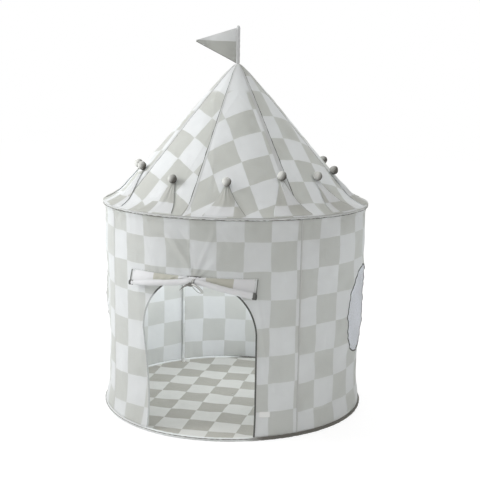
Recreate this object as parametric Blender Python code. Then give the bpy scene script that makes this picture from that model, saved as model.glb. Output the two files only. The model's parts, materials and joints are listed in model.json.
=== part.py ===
"""Round castle play tent for a child, as an assembly of its sewn and hard pieces.

Run with: blender --background --python part.py
Metres, +Z up. The origin is the middle of the floor on the ground, and the doorway faces -Y.
An azimuth is in degrees, 0 at the doorway and growing towards +X.
"""
import math

import bmesh
import bpy
from mathutils import Matrix, Vector

# Overall sizes
BASE_HOOP_RADIUS = 0.4975
EAVE_SPREAD = 0.008
EAVE_HEIGHT = 0.789
ROOF_RISE = 0.528

# Cloth and clearances
CLOTH = 0.0012
GAP = 0.0003
SHARP_ANGLE = 35
LOOSE_GAP = 0.0006
OVERRUN = 0.05

# Hems and the spring bands inside them
HEM_HALF_HEIGHT = 0.0065
HOOP_HEIGHT = 0.004
HOOP_THICKNESS = 0.0015
HEM_CORNER_ANGLE = 60
RING_SEGMENTS = 48

# Walls
WAIST_DEPTH = 0.034
WAIST_SKEW = 0.6
SIDE_WAIST_DEPTH = 0.016
SIDE_WAIST_SKEW = 0.69
SIDE_WAIST_TURNS = 1.3
SIDE_WAIST_FADE_SHARE = 0.12
EAVE_INSET = 0.0015
EAVE_LIP = 0.0045
EAVE_LIP_HEIGHT = 0.03
SEAM_AZIMUTH = 45
PANEL_SPAN = 90
PANEL_COLUMNS = 16
SPOT_STEPS = 6
WALL_ROW_SHARES = (0, 0.02, 0.07, 0.16, 0.29, 0.46, 0.64, 0.82, 0.965, 1)

# Doorway
DOOR_HALF_WIDTH = 0.205
DOOR_SPRING_HEIGHT = 0.368
DOOR_JAMB_SHARES = (0, 0.06, 0.2, 0.45, 0.72)
DOOR_ARCH_STEPS = 16
BINDING_WIDTH = 0.006
BINDING_THICKNESS = 0.003

# Windows
WINDOW_HALF_WIDTH = 0.14
WINDOW_HALF_HEIGHT = 0.16
WINDOW_HEIGHT = 0.40
WINDOW_STEPS = 28
MESH_THICKNESS = 0.0008
MESH_RING_SHARES = (0.5, 1)

# Roof
FLARE_HEIGHT = 0.06
FLARE_REACH = 0.0358
COLLAR_RADIUS = 0.0085
GORE_SAG = 0.006
GORE_COUNT = 8
GORE_COLUMNS = 6
GORE_ROW_SHARES = (0, 0.016, 0.036, 0.066, 0.115, 0.32, 0.56, 0.8, 1)
FRONT_SEAM_DRIFT = -3.5

# Crown points and bobbles
CROWN_AZIMUTHS = (-46, -17, 13, 41, 69, 97, 128, 159, 190, 221, 252, 283)
CROWN_TIP_AZIMUTHS = (-52, -16.8, 12.8, 42.5, 66.5, 91, 126.5, 160, 188.5, 222.5, 250.5, 284.5)
CROWN_TIP_SHARES = (0.93, 0.74, 0.735, 0.87, 0.81, 0.87, 1, 0.86, 0.8, 0.92, 0.84, 0.9)
CROWN_BASE_WIDTH = 0.142
CROWN_TIP_WIDTH = 0.012
CROWN_BAND_HEIGHT = 0.004
CROWN_PUFF = 0.007
CROWN_STAND_OFF = 0.0034
CROWN_SIDE_SHARES = (-1, -0.5, 0, 0.5, 1)
CROWN_ROW_SHARES = (0, 0.12, 0.3, 0.6, 1)
CROWN_RISE = 0.14
BOBBLE_RADIUS = 0.0165
BOBBLE_SIDES = 8
BOBBLE_RINGS = 5

# Poles and the cloth channels that hold them
POLE_RADIUS = 0.00425
CHANNEL_WALL = 0.001
CHANNEL_END_GAP = 0.012
CHANNEL_SETBACK = 0.003
ROUND_SIDES = 8

# Feet, elbows and hub
FOOT_WALL = 0.00225
FOOT_HEIGHT = 0.022
FOOT_SOLE = 0.002
SOCKET_WALL = 0.00395
SOCKET_LENGTH = 0.045
SOCKET_STOP = 0.009
KNUCKLE_SWELL = 0.0017
ARM_SIDES = 10
HUB_CLOTH_GAP = 0.0022
HUB_CONE_HEIGHT = 0.020
HUB_EDGE_DEPTH = 0.006
HUB_CORE_RADIUS = 0.014
HUB_CORE_DEPTH = 0.040
HUB_BORE_DEPTH = 0.052
HUB_POLE_END_RADIUS = 0.024

# Flag
FLAG_POLE_RADIUS = 0.004
FLAG_POLE_RISE = 0.132
FLAG_CAP_WALL = 0.0019
FLAG_CAP_HEIGHT = 0.008
FLAG_CAP_GRIP = 0.004
FLAG_AZIMUTH = -72.5
FLAG_POCKET_EASE = 0.0029
FLAG_POCKET_WALL = 0.0015
FLAG_POCKET_SINK = 0.005
FLAG_LENGTH = 0.158
FLAG_TIP_RISE = 0.078
FLAG_WAVE = 0.006
FLAG_COLUMNS = 8
FLAG_TIP_SHARE = 0.04

# Rolled door flap, its bound edges and its tie
FLAP_PAST_LEFT = 0.036
FLAP_PAST_RIGHT = 0.011
FLAP_ABOVE_DOOR = 0.016
FLAP_STATIONS = 20
ROLL_RADIUS = 0.011
ROLL_DROP = 0.072
ROLL_DROP_SHARES = ((0, 0.76), (0.2, 0.59), (0.35, 0.5), (0.5, 0.38), (0.6, 0.38), (0.8, 0.72), (1, 1))
ROLL_STAND_OFF = 0.012
ROLL_STAND_OFF_SHARES = ((0, 1), (0.3, 0.35), (0.5, 0.1), (0.6, 0.1), (0.75, 0.35), (1, 1))
ROLL_NECK_ANGLE = 20
ROLL_SIDES = 9
EDGE_CAP_LENGTH = 0.009
EDGE_CAP_RADIUS = 0.0085
EDGE_BINDING_WIDTH = 0.006
TIE_POSITION = 0.008
TIE_WIDTH = 0.008
TIE_THICKNESS = 0.0015
TIE_KNOT_RADIUS = 0.006
TIE_KNOT_SEAT_SHARE = 0.93
TIE_LOOP_REACH = 0.042
TIE_LOOP_DROP = 0.021
TIE_TAIL_REACH = 0.036
TIE_TAIL_DROP = 0.012
TIE_LOOP_STEPS = 14
TIE_LOOP_SPAN_SHARES = (0.06, 0.94)

# Label
LABEL_PAST_DOOR = 0.049
LABEL_HEIGHT = 0.091
LABEL_WIDTH = 0.035
LABEL_TALL = 0.020
LABEL_THICKNESS = 0.0006

# Sizes that follow from the ones above
EAVE_HOOP_RADIUS = BASE_HOOP_RADIUS + EAVE_SPREAD
PEAK_HEIGHT = EAVE_HEIGHT + ROOF_RISE
CONE_EAVE_RADIUS = EAVE_HOOP_RADIUS - FLARE_REACH
HEM_SLANT = math.radians(HEM_CORNER_ANGLE)
HEM_REACH = HEM_HALF_HEIGHT / math.sin(HEM_SLANT)
HEM_FLAT = HEM_REACH - HEM_HALF_HEIGHT / math.tan(HEM_SLANT)
WALL_BOTTOM = 2 * HEM_HALF_HEIGHT + GAP
WALL_TOP = EAVE_HEIGHT - HEM_HALF_HEIGHT - GAP
WALL_TOP_RADIUS = EAVE_HOOP_RADIUS - EAVE_INSET - EAVE_LIP
ROOF_BOTTOM = EAVE_HEIGHT + HEM_HALF_HEIGHT + GAP
CROWN_TIPS = tuple(EAVE_HEIGHT + CROWN_RISE * share for share in CROWN_TIP_SHARES)
CROWN_POINTS = tuple(zip(CROWN_AZIMUTHS, CROWN_TIP_AZIMUTHS, CROWN_TIPS))
ROOF_SLOPE = CONE_EAVE_RADIUS / (PEAK_HEIGHT - ROOF_BOTTOM)
ROOF_OUTWARD = 1 / math.hypot(1, ROOF_SLOPE)
ROOF_UPWARD = ROOF_SLOPE * ROOF_OUTWARD
ROOF_CLOTH = CLOTH / ROOF_OUTWARD
ROOF_TOP = PEAK_HEIGHT - COLLAR_RADIUS / ROOF_SLOPE
POLE_BORE = POLE_RADIUS + GAP
CHANNEL_BORE = POLE_RADIUS + LOOSE_GAP
CHANNEL_RADIUS = CHANNEL_BORE + CHANNEL_WALL
FOOT_RADIUS = POLE_BORE + FOOT_WALL
SOCKET_RADIUS = POLE_BORE + SOCKET_WALL
KNUCKLE_RADIUS = SOCKET_RADIUS + KNUCKLE_SWELL
FOOT_BOTTOM = CLOTH + GAP
FOOT_TOP = FOOT_BOTTOM + FOOT_HEIGHT
WALL_POLE_RING = BASE_HOOP_RADIUS - HEM_REACH - FOOT_RADIUS - GAP
ROOF_POLE_DEPTH = CLOTH / 2 + LOOSE_GAP + SOCKET_RADIUS
ROOF_POLE_INSET = ROOF_POLE_DEPTH / ROOF_OUTWARD
ELBOW_HEIGHT = PEAK_HEIGHT - (WALL_POLE_RING + ROOF_POLE_INSET) / ROOF_SLOPE
FLAG_BORE = FLAG_POLE_RADIUS + GAP
FLAG_POLE_TOP = PEAK_HEIGHT + FLAG_POLE_RISE
FLAG_POCKET_BOTTOM = PEAK_HEIGHT - FLAG_POCKET_SINK
FLAG_TIP_HEIGHT = PEAK_HEIGHT + FLAG_TIP_RISE
DOOR_TOP = DOOR_SPRING_HEIGHT + DOOR_HALF_WIDTH
FLAP_TOP = DOOR_TOP + FLAP_ABOVE_DOOR
FLAP_LEFT = -DOOR_HALF_WIDTH - FLAP_PAST_LEFT
FLAP_RIGHT = DOOR_HALF_WIDTH + FLAP_PAST_RIGHT
LABEL_AZIMUTH = math.degrees(math.asin((DOOR_HALF_WIDTH + LABEL_PAST_DOOR) / BASE_HOOP_RADIUS))
POLE_AZIMUTHS = tuple(SEAM_AZIMUTH + PANEL_SPAN * k for k in range(4))
POLE_NAMES = ("front_right", "back_right", "back_left", "front_left")


def clear_scene():
    """Start from an empty scene."""
    for item in list(bpy.data.objects):
        bpy.data.objects.remove(item, do_unlink=True)


def finish(name, colour, roughness, metallic=0.0):
    """One plain surface colour for a sub-part."""
    surface = bpy.data.materials.new(name)
    surface.use_nodes = True
    shader = surface.node_tree.nodes["Principled BSDF"]
    shader.inputs["Base Color"].default_value = (*colour, 1)
    shader.inputs["Roughness"].default_value = roughness
    shader.inputs["Metallic"].default_value = metallic
    return surface


def around(azimuth, radius, z):
    """The point at an azimuth, a distance from the tent's axis, and a height."""
    turn = math.radians(azimuth)
    return Vector((radius * math.sin(turn), -radius * math.cos(turn), z))


def mix(low, high, share):
    """The value a share of the way from low to high."""
    return low + (high - low) * share


def from_table(table, share):
    """Read a table of (place share, value share) pairs, straight between them."""
    for (place_a, value_a), (place_b, value_b) in zip(table, table[1:]):
        if share <= place_b:
            return mix(value_a, value_b, (share - place_a) / (place_b - place_a))
    return table[-1][1]


def closed_mesh(name, points, faces):
    """A mesh of closed bodies with their faces pointing out."""
    mesh = bpy.data.meshes.new(name)
    mesh.from_pydata([tuple(p) for p in points], [], faces)
    work = bmesh.new()
    work.from_mesh(mesh)
    bmesh.ops.recalc_face_normals(work, faces=work.faces)
    work.to_mesh(mesh)
    work.free()
    return mesh


def add_piece(name, mesh, surface, carrier=None, turn=0):
    """Put a mesh into the scene as a named sub-part, on a joint's empty if it has one."""
    mesh.materials.clear()
    mesh.materials.append(surface)
    mesh.shade_smooth()
    mesh.set_sharp_from_angle(angle=math.radians(SHARP_ANGLE))
    piece = bpy.data.objects.new(name, mesh)
    bpy.context.collection.objects.link(piece)
    piece.rotation_euler.z = math.radians(turn)
    if carrier is not None:
        mesh.transform(Matrix.Translation(-carrier.location))
        piece.parent = carrier
    return piece


def add_axis_empty(name, place):
    """An empty on a joint's axis, which carries the pieces that the joint moves."""
    empty = bpy.data.objects.new(name, None)
    empty.location = place
    bpy.context.collection.objects.link(empty)
    return empty


def carved(name, body, joins=(), cuts=()):
    """The body with other closed meshes joined to it and cut from it."""
    base = bpy.data.objects.new(name, body)
    bpy.context.collection.objects.link(base)
    helpers = []
    for operation, meshes in (("UNION", joins), ("DIFFERENCE", cuts)):
        for mesh in meshes:
            helper = bpy.data.objects.new(name + "_tool", mesh)
            helper.hide_render = True
            helper.display_type = "WIRE"
            bpy.context.collection.objects.link(helper)
            modifier = base.modifiers.new(operation.lower(), "BOOLEAN")
            modifier.operation = operation
            modifier.solver = "EXACT"
            modifier.object = helper
            helpers.append(helper)
    bpy.context.view_layer.update()
    evaluated = base.evaluated_get(bpy.context.evaluated_depsgraph_get())
    result = bpy.data.meshes.new_from_object(evaluated)
    result.name = name
    for item in [base, *helpers]:
        bpy.data.objects.remove(item, do_unlink=True)
    return result


def loft(name, loops, ring=False):
    """Skin equal closed loops in order: a ring, or a bar with filled ends."""
    count = len(loops[0])
    points = [point for loop in loops for point in loop]
    faces = []
    spans = len(loops) if ring else len(loops) - 1
    for row in range(spans):
        here = row * count
        there = ((row + 1) % len(loops)) * count
        for k in range(count):
            after = (k + 1) % count
            faces.append((here + k, here + after, there + after, there + k))
    if not ring:
        faces.append(tuple(reversed(range(count))))
        faces.append(tuple(range(len(points) - count, len(points))))
    return closed_mesh(name, points, faces)


def sheet(name, outer, inner):
    """Close two equal grids of points into a sheet with a real thickness."""
    columns = len(outer[0])
    front = []
    for row in range(len(outer) - 1):
        for column in range(columns - 1):
            corner = row * columns + column
            above = corner + columns
            front.append((corner, corner + 1, above + 1))
            front.append((corner, above + 1, above))
    return thick_cloth(name, sum(outer, []), sum(inner, []), front)


def thick_cloth(name, outer, inner, front):
    """Close two layers of points, with the same triangles on both, all round their rim."""
    back = len(outer)
    sides = {side for face in front for side in zip(face, face[1:] + face[:1])}
    rim = sorted(side for side in sides if side[::-1] not in sides)
    faces = front + [tuple(back + k for k in reversed(face)) for face in front]
    faces += [(after, here, back + here, back + after) for here, after in rim]
    return closed_mesh(name, outer + inner, faces)


def lathe(name, profile, sides, place=None):
    """Turn a profile of (radius, height) about Z."""
    points = []
    rings = []
    for radius, height in profile:
        if radius == 0:
            rings.append([len(points)] * sides)
            points.append(Vector((0, 0, height)))
            continue
        rings.append(list(range(len(points), len(points) + sides)))
        for k in range(sides):
            turn = 2 * math.pi * (k + 0.5) / sides
            points.append(Vector((radius * math.cos(turn), radius * math.sin(turn), height)))
    faces = []
    for low, high in zip(rings, rings[1:]):
        for k in range(sides):
            after = (k + 1) % sides
            quad = [low[k], low[after], high[after], high[k]]
            face = tuple(dict.fromkeys(quad))
            if len(face) > 2:
                faces.append(face)
    mesh = closed_mesh(name, points, faces)
    if place is not None:
        mesh.transform(place)
    return mesh


def aimed(start, end):
    """The placement that stands a piece made along Z on start, pointing at end."""
    turn = (end - start).to_track_quat("Z", "Y").to_matrix().to_4x4()
    return Matrix.Translation(start) @ turn


def rod(name, start, end, radius, sides=ROUND_SIDES):
    """A plain round bar between two points."""
    length = (end - start).length
    profile = ((0, 0), (radius, 0), (radius, length), (0, length))
    return lathe(name, profile, sides, aimed(start, end))


def wall_curve(azimuth, z):
    """Middle of the wall cloth: drawn in between the poles and turned out under the eave."""
    panel, along = divmod(azimuth - SEAM_AZIMUTH, PANEL_SPAN)
    rise = min(max((z - WALL_BOTTOM) / (WALL_TOP - WALL_BOTTOM), 0), 1)
    waist = WAIST_DEPTH * math.sin(math.pi * rise ** WAIST_SKEW)
    if panel % 2 == 0:
        fade = min(1, (1 - rise) / SIDE_WAIST_FADE_SHARE)
        turns = SIDE_WAIST_TURNS * rise ** SIDE_WAIST_SKEW
        waist = SIDE_WAIST_DEPTH * math.sin(math.pi * turns) * fade
    waist *= math.sin(math.pi * along / PANEL_SPAN) ** 2
    lip = EAVE_LIP * max(0, 1 - (WALL_TOP - z) / EAVE_LIP_HEIGHT) ** 2
    return mix(BASE_HOOP_RADIUS, WALL_TOP_RADIUS, rise) - waist + lip


def wall_radius(azimuth, z):
    """The wall's middle as its flat facets have it, between the points of its grid."""
    heights = [mix(WALL_BOTTOM, WALL_TOP, share) for share in WALL_ROW_SHARES]
    row = max(k for k, height in enumerate(heights[:-1]) if k == 0 or height <= z)
    share = (z - heights[row]) / (heights[row + 1] - heights[row])
    step = PANEL_SPAN / PANEL_COLUMNS
    first = math.floor(azimuth / step) * step
    near, far = [
        mix(wall_curve(edge, heights[row]), wall_curve(edge, heights[row + 1]), share)
        for edge in (first, first + step)
    ]
    near_part = near * math.sin(math.radians(azimuth - first))
    far_part = far * math.sin(math.radians(first + step - azimuth))
    return near * far * math.sin(math.radians(step)) / (near_part + far_part)


def roof_radius(z):
    """Middle of the roof cloth: a straight cone that turns out over the eave."""
    cone = (PEAK_HEIGHT - z) * ROOF_SLOPE
    return cone + FLARE_REACH * max(0, 1 - (z - ROOF_BOTTOM) / FLARE_HEIGHT) ** 3


def wall_spot(facing, side, z, depth=0):
    """A point on the wall, by its sideways distance from the line facing an azimuth."""
    turn = 0
    for _ in range(SPOT_STEPS):
        turn = math.degrees(math.asin(side / wall_radius(facing + turn, z)))
    radius = wall_radius(facing + turn, z)
    outward = around(facing, 1, 0)
    sideways = around(facing + 90, 1, 0)
    forward = radius * math.cos(math.radians(turn)) + depth
    return outward * forward + sideways * side + Vector((0, 0, z))


def door_arch(half):
    """The round top of the doorway as (side, height) pairs, from left to right."""
    arch = []
    for k in range(DOOR_ARCH_STEPS + 1):
        turn = math.pi * (1 - k / DOOR_ARCH_STEPS)
        arch.append((half * math.cos(turn), DOOR_SPRING_HEIGHT + half * math.sin(turn)))
    return arch


def door_outline(grow):
    """The doorway's edge with its upright sides, pushed out by grow."""
    half = DOOR_HALF_WIDTH + grow
    jamb = [mix(WALL_BOTTOM, DOOR_SPRING_HEIGHT, share) for share in DOOR_JAMB_SHARES]
    left = [(-half, z) for z in jamb]
    right = [(half, z) for z in reversed(jamb)]
    return left + door_arch(half) + right


def window_outline(grow):
    """The window's oval edge as (side, height) pairs, pushed out by grow."""
    outline = []
    for k in range(WINDOW_STEPS):
        turn = 2 * math.pi * k / WINDOW_STEPS
        side = (WINDOW_HALF_WIDTH + grow) * math.cos(turn)
        outline.append((side, WINDOW_HEIGHT + (WINDOW_HALF_HEIGHT + grow) * math.sin(turn)))
    return outline


def wall_cutter(facing, outline):
    """A straight bar of an opening's outline, right through one wall."""
    outward = around(facing, 1, 0)
    sideways = around(facing + 90, 1, 0)
    loops = []
    for reach in (WALL_TOP_RADIUS / 2, WALL_TOP_RADIUS + OVERRUN):
        loops.append([outward * reach + sideways * side + Vector((0, 0, z)) for side, z in outline])
    return loft("opening", loops)


def make_floor(surface):
    """Sewn-in ground sheet, up to the foot of the base hem."""
    edge = HEM_FLAT + CLOTH / math.tan(HEM_SLANT) + GAP / math.sin(HEM_SLANT)
    radius = BASE_HOOP_RADIUS - edge
    loops = []
    for z in (0, CLOTH):
        loops.append([around(360 * k / RING_SEGMENTS, radius, z) for k in range(RING_SEGMENTS)])
    add_piece("floor_sheet", loft("floor_sheet", loops), surface)


def make_hem(name, hoop_radius, height, surface):
    """Folded hem round a hoop: six-sided outside, with the band's channel open on the inside."""
    slot = HOOP_HEIGHT / 2 + GAP
    mouth = -HEM_REACH + slot / math.tan(HEM_SLANT)
    channel = HOOP_THICKNESS / 2 + GAP
    profile = [(mouth, slot), (-HEM_FLAT, HEM_HALF_HEIGHT), (HEM_FLAT, HEM_HALF_HEIGHT), (HEM_REACH, 0)]
    profile += [(HEM_FLAT, -HEM_HALF_HEIGHT), (-HEM_FLAT, -HEM_HALF_HEIGHT), (mouth, -slot)]
    profile += [(channel, -slot), (channel, slot)]
    add_piece(name, ring_of(name, hoop_radius, height, profile), surface)


def ring_of(name, hoop_radius, height, profile):
    """A profile of (outward, up) pairs carried round the tent."""
    loops = []
    for k in range(RING_SEGMENTS):
        azimuth = 360 * k / RING_SEGMENTS
        loops.append([around(azimuth, hoop_radius + out, height + up) for out, up in profile])
    return loft(name, loops, ring=True)


def make_hoop(name, hoop_radius, height, surface):
    """Flat spring steel band, bent to a ring inside its hem."""
    half_height = HOOP_HEIGHT / 2
    half_thick = HOOP_THICKNESS / 2
    profile = ((-half_thick, half_height), (half_thick, half_height))
    profile += ((half_thick, -half_height), (-half_thick, -half_height))
    add_piece(name, ring_of(name, hoop_radius, height, profile), surface)


def wall_panel_mesh(name, start):
    """One wall panel between two pole seams, before its opening is cut."""
    outer = []
    inner = []
    seam = math.degrees(GAP / 2 / BASE_HOOP_RADIUS)
    for share in WALL_ROW_SHARES:
        z = mix(WALL_BOTTOM, WALL_TOP, share)
        outer_row = []
        inner_row = []
        for column in range(PANEL_COLUMNS + 1):
            azimuth = start + mix(seam, PANEL_SPAN - seam, column / PANEL_COLUMNS)
            radius = wall_curve(azimuth, z)
            outer_row.append(around(azimuth, radius + CLOTH / 2, z))
            inner_row.append(around(azimuth, radius - CLOTH / 2, z))
        outer.append(outer_row)
        inner.append(inner_row)
    return sheet(name, outer, inner)


def channel(start, end, start_root, end_root):
    """A pole channel folded from a panel's edge: its solid outside, and its bore."""
    along = (end - start).normalized()
    loops = []
    for middle, root in ((start, start_root), (end, end_root)):
        towards = (root - middle).normalized()
        aside = along.cross(towards)
        loop = [root - aside * (CLOTH / 2), root + aside * (CLOTH / 2)]
        for k in range(1, ROUND_SIDES):
            turn = 2 * math.pi * k / ROUND_SIDES
            loop.append(middle + (towards * math.cos(turn) + aside * math.sin(turn)) * CHANNEL_RADIUS)
        loops.append(loop)
    return loft("channel", loops), rod("bore", start - along * OVERRUN, end + along * OVERRUN, CHANNEL_BORE)


def wall_channel(azimuth):
    """The channel of the wall pole at a seam, rooted in the panel that starts there."""
    low = FOOT_TOP + CHANNEL_END_GAP
    high = ELBOW_HEIGHT - SOCKET_LENGTH - CHANNEL_END_GAP
    beside = azimuth + math.degrees(CHANNEL_SETBACK / BASE_HOOP_RADIUS)
    ends = [around(azimuth, WALL_POLE_RING, z) for z in (low, high)]
    roots = [around(beside, wall_radius(beside, z), z) for z in (low, high)]
    return channel(*ends, *roots)


def make_walls(surface):
    """Four panels sewn at the pole seams, with a doorway in one and a window in two."""
    grow = BINDING_WIDTH + GAP
    half = DOOR_HALF_WIDTH + grow
    below = WALL_BOTTOM - OVERRUN
    doorway = [(-half, below), *door_arch(half), (half, below)]
    window = window_outline(grow)
    panels = (("front", 0, doorway), ("right", 90, window), ("back", 180, None), ("left", -90, window))
    for side_name, facing, opening in panels:
        name = "wall_panel_" + side_name
        start = facing - SEAM_AZIMUTH
        sleeve, bore = wall_channel(start)
        cuts = [bore]
        if opening:
            cuts.append(wall_cutter(facing, opening))
        panel = carved(name, wall_panel_mesh(name, start), joins=[sleeve], cuts=cuts)
        add_piece(name, panel, surface)


def binding_loops(facing, inner_edge, outer_edge):
    """Sections of a bound edge, square to the wall that it lies in."""
    loops = []
    half = BINDING_THICKNESS / 2
    for (in_side, in_z), (out_side, out_z) in zip(inner_edge, outer_edge):
        loop = [wall_spot(facing, in_side, in_z, half), wall_spot(facing, out_side, out_z, half)]
        loop += [wall_spot(facing, out_side, out_z, -half), wall_spot(facing, in_side, in_z, -half)]
        loops.append(loop)
    return loops


def make_door_binding(surface):
    """Dark tape folded over the doorway's raw edge, from the base hem up and over."""
    loops = binding_loops(0, door_outline(0), door_outline(BINDING_WIDTH))
    add_piece("door_binding", loft("door_binding", loops), surface)


def make_windows(tape, net):
    """An oval of tape and a net panel in each side wall."""
    for side_name, facing in (("right", 90), ("left", -90)):
        name = "window_binding_" + side_name
        loops = binding_loops(facing, window_outline(0), window_outline(BINDING_WIDTH))
        add_piece(name, loft(name, loops, ring=True), tape)
        name = "window_mesh_" + side_name
        add_piece(name, net_panel(name, facing), net)


def net_panel(name, facing):
    """A thin oval panel that follows the wall, as rings round its middle."""
    edge = window_outline(-GAP)
    half = MESH_THICKNESS / 2
    points = []
    faces = []
    starts = []
    for depth in (half, -half):
        starts.append(len(points))
        points.append(wall_spot(facing, 0, WINDOW_HEIGHT, depth))
        for share in MESH_RING_SHARES:
            for side, z in edge:
                points.append(wall_spot(facing, side * share, mix(WINDOW_HEIGHT, z, share), depth))
    for first in starts:
        for k in range(WINDOW_STEPS):
            after = (k + 1) % WINDOW_STEPS
            faces.append((first, first + 1 + k, first + 1 + after))
            inside = first + 1
            outside = inside + WINDOW_STEPS
            faces.append((inside + k, outside + k, outside + after, inside + after))
    rim = 1 + WINDOW_STEPS * (len(MESH_RING_SHARES) - 1)
    for k in range(WINDOW_STEPS):
        after = (k + 1) % WINDOW_STEPS
        front, back = starts[0] + rim, starts[1] + rim
        faces.append((front + k, front + after, back + after, back + k))
    return closed_mesh(name, points, faces)


def seam_azimuth(index):
    """Azimuth of a roof seam. The front one has slipped a little to one side."""
    azimuth = index * 360 / GORE_COUNT
    return azimuth + FRONT_SEAM_DRIFT if index % GORE_COUNT == 0 else azimuth


def make_gores(surface):
    """Eight roof gores, each a little slack between its seams."""
    for index in range(GORE_COUNT):
        name = "roof_gore_" + str(index + 1)
        first = seam_azimuth(index)
        last = seam_azimuth(index + 1)
        outer = []
        inner = []
        for share in GORE_ROW_SHARES:
            z = mix(ROOF_BOTTOM, ROOF_TOP, share)
            seam = math.degrees(GAP / 2 / roof_radius(z))
            outer_row = []
            inner_row = []
            for column in range(GORE_COLUMNS + 1):
                across = column / GORE_COLUMNS
                azimuth = mix(first + seam, last - seam, across)
                sag = GORE_SAG * math.sin(math.pi * across) * math.sin(math.pi * share)
                radius = roof_radius(z) - sag
                outer_row.append(around(azimuth, radius + ROOF_CLOTH / 2, z))
                inner_row.append(around(azimuth, radius - ROOF_CLOTH / 2, z))
            outer.append(outer_row)
            inner.append(inner_row)
        gore = sheet(name, outer, inner)
        if index % 2 == 1:
            sleeve, bore = roof_channel(first)
            gore = carved(name, gore, joins=[sleeve], cuts=[bore])
        add_piece(name, gore, surface)


def roof_channel(azimuth):
    """The channel of a roof pole under a seam, rooted in the gore that starts there."""
    corner = around(azimuth, WALL_POLE_RING, ELBOW_HEIGHT)
    top = roof_pole_point(azimuth, HUB_POLE_END_RADIUS)
    along = (top - corner).normalized()
    start = corner + along * (SOCKET_LENGTH + CHANNEL_END_GAP)
    end = top - along * (SOCKET_LENGTH - SOCKET_STOP + CHANNEL_END_GAP)
    outward = around(azimuth, ROOF_OUTWARD, ROOF_UPWARD)
    lift = outward * ROOF_POLE_DEPTH + around(azimuth + 90, CHANNEL_SETBACK, 0)
    return channel(start, end, start + lift, end + lift)


def crown_column(point, side_share):
    """One line up a leaning crown point: its places as azimuths, radii and heights."""
    base_azimuth, tip_azimuth, tip = point
    foot = ROOF_BOTTOM + CROWN_BAND_HEIGHT
    column = []
    for rise in CROWN_ROW_SHARES:
        z = mix(foot, tip, rise)
        half = mix(CROWN_BASE_WIDTH, CROWN_TIP_WIDTH, rise) / 2
        middle = mix(base_azimuth, tip_azimuth, rise)
        azimuth = middle + side_share * math.degrees(half / roof_radius(z))
        puff = CROWN_PUFF * math.cos(math.pi * side_share / 2) * math.sin(math.pi * rise)
        column.append((azimuth, roof_radius(z) + CROWN_STAND_OFF + puff, z))
    return band_column(column[0][0])[:1] + column


def band_column(azimuth):
    """One line up the crown's band, from its lower edge to its upper one."""
    heights = (ROOF_BOTTOM, ROOF_BOTTOM + CROWN_BAND_HEIGHT)
    return [(azimuth, roof_radius(z) + CROWN_STAND_OFF, z) for z in heights]


def make_crown(surface, bobble_surface):
    """Twelve leaning points on one band, which stand on the eave hem and lean on the roof."""
    columns = []
    for index, point in enumerate(CROWN_POINTS):
        columns += [crown_column(point, side_share) for side_share in CROWN_SIDE_SHARES]
        following = CROWN_AZIMUTHS[(index + 1) % len(CROWN_AZIMUTHS)]
        columns.append(band_column(point[0] + ((following - point[0]) % 360) / 2))
        name = "crown_bobble_" + str(index + 1)
        add_piece(name, bobble(point), bobble_surface)
    places = sum(columns, [])
    front = []
    start = 0
    for here, there in zip(columns, columns[1:] + columns[:1]):
        after = (start + len(here)) % len(places)
        for row in range(min(len(here), len(there)) - 1):
            front.append((start + row, after + row, after + row + 1))
            front.append((start + row, after + row + 1, start + row + 1))
        start = after
    outer = [around(azimuth, radius + ROOF_CLOTH / 2, z) for azimuth, radius, z in places]
    inner = [around(azimuth, radius - ROOF_CLOTH / 2, z) for azimuth, radius, z in places]
    add_piece("crown_points", thick_cloth("crown_points", outer, inner, front), surface)


def bobble(point):
    """A stuffed ball that rests on the tip of its crown point."""
    azimuth, tip = point[1:]
    outside = roof_radius(tip) + CROWN_STAND_OFF + ROOF_CLOTH / 2
    outward = around(azimuth, ROOF_OUTWARD, ROOF_UPWARD)
    start = around(azimuth, outside, tip) + outward * GAP
    profile = []
    for k in range(BOBBLE_RINGS + 1):
        turn = math.pi * k / BOBBLE_RINGS
        radius = BOBBLE_RADIUS * math.sin(turn) if 0 < k < BOBBLE_RINGS else 0
        profile.append((radius, BOBBLE_RADIUS * (1 - math.cos(turn))))
    return lathe("bobble", profile, BOBBLE_SIDES, aimed(start, start + outward))


def roof_pole_point(azimuth, radius):
    """The point of a roof pole's middle line at a distance from the tent's axis."""
    return around(azimuth, radius, PEAK_HEIGHT - (radius + ROOF_POLE_INSET) / ROOF_SLOPE)


def make_poles(surface):
    """A wall pole and a roof pole for each corner of the frame."""
    stop = SOCKET_STOP + GAP
    for name, azimuth in zip(POLE_NAMES, POLE_AZIMUTHS):
        low = around(azimuth, WALL_POLE_RING, FOOT_BOTTOM + FOOT_SOLE + GAP)
        corner = around(azimuth, WALL_POLE_RING, ELBOW_HEIGHT)
        high = roof_pole_point(azimuth, HUB_POLE_END_RADIUS)
        up_slope = (high - corner).normalized()
        wall_pole = rod("wall_pole", low, corner - Vector((0, 0, stop)), POLE_RADIUS)
        roof_pole = rod("roof_pole", corner + up_slope * stop, high, POLE_RADIUS)
        add_piece("wall_pole_" + name, wall_pole, surface)
        add_piece("roof_pole_" + name, roof_pole, surface)


def make_feet(surface):
    """Four cups that keep the wall poles' lower ends off the ground sheet."""
    well = FOOT_BOTTOM + FOOT_SOLE
    profile = ((0, FOOT_BOTTOM), (FOOT_RADIUS, FOOT_BOTTOM), (FOOT_RADIUS, FOOT_TOP))
    profile += ((POLE_BORE, FOOT_TOP), (POLE_BORE, well), (0, well))
    for name, azimuth in zip(POLE_NAMES, POLE_AZIMUTHS):
        place = Matrix.Translation(around(azimuth, WALL_POLE_RING, 0))
        add_piece("pole_foot_" + name, lathe("pole_foot", profile, ROUND_SIDES, place), surface)


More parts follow.
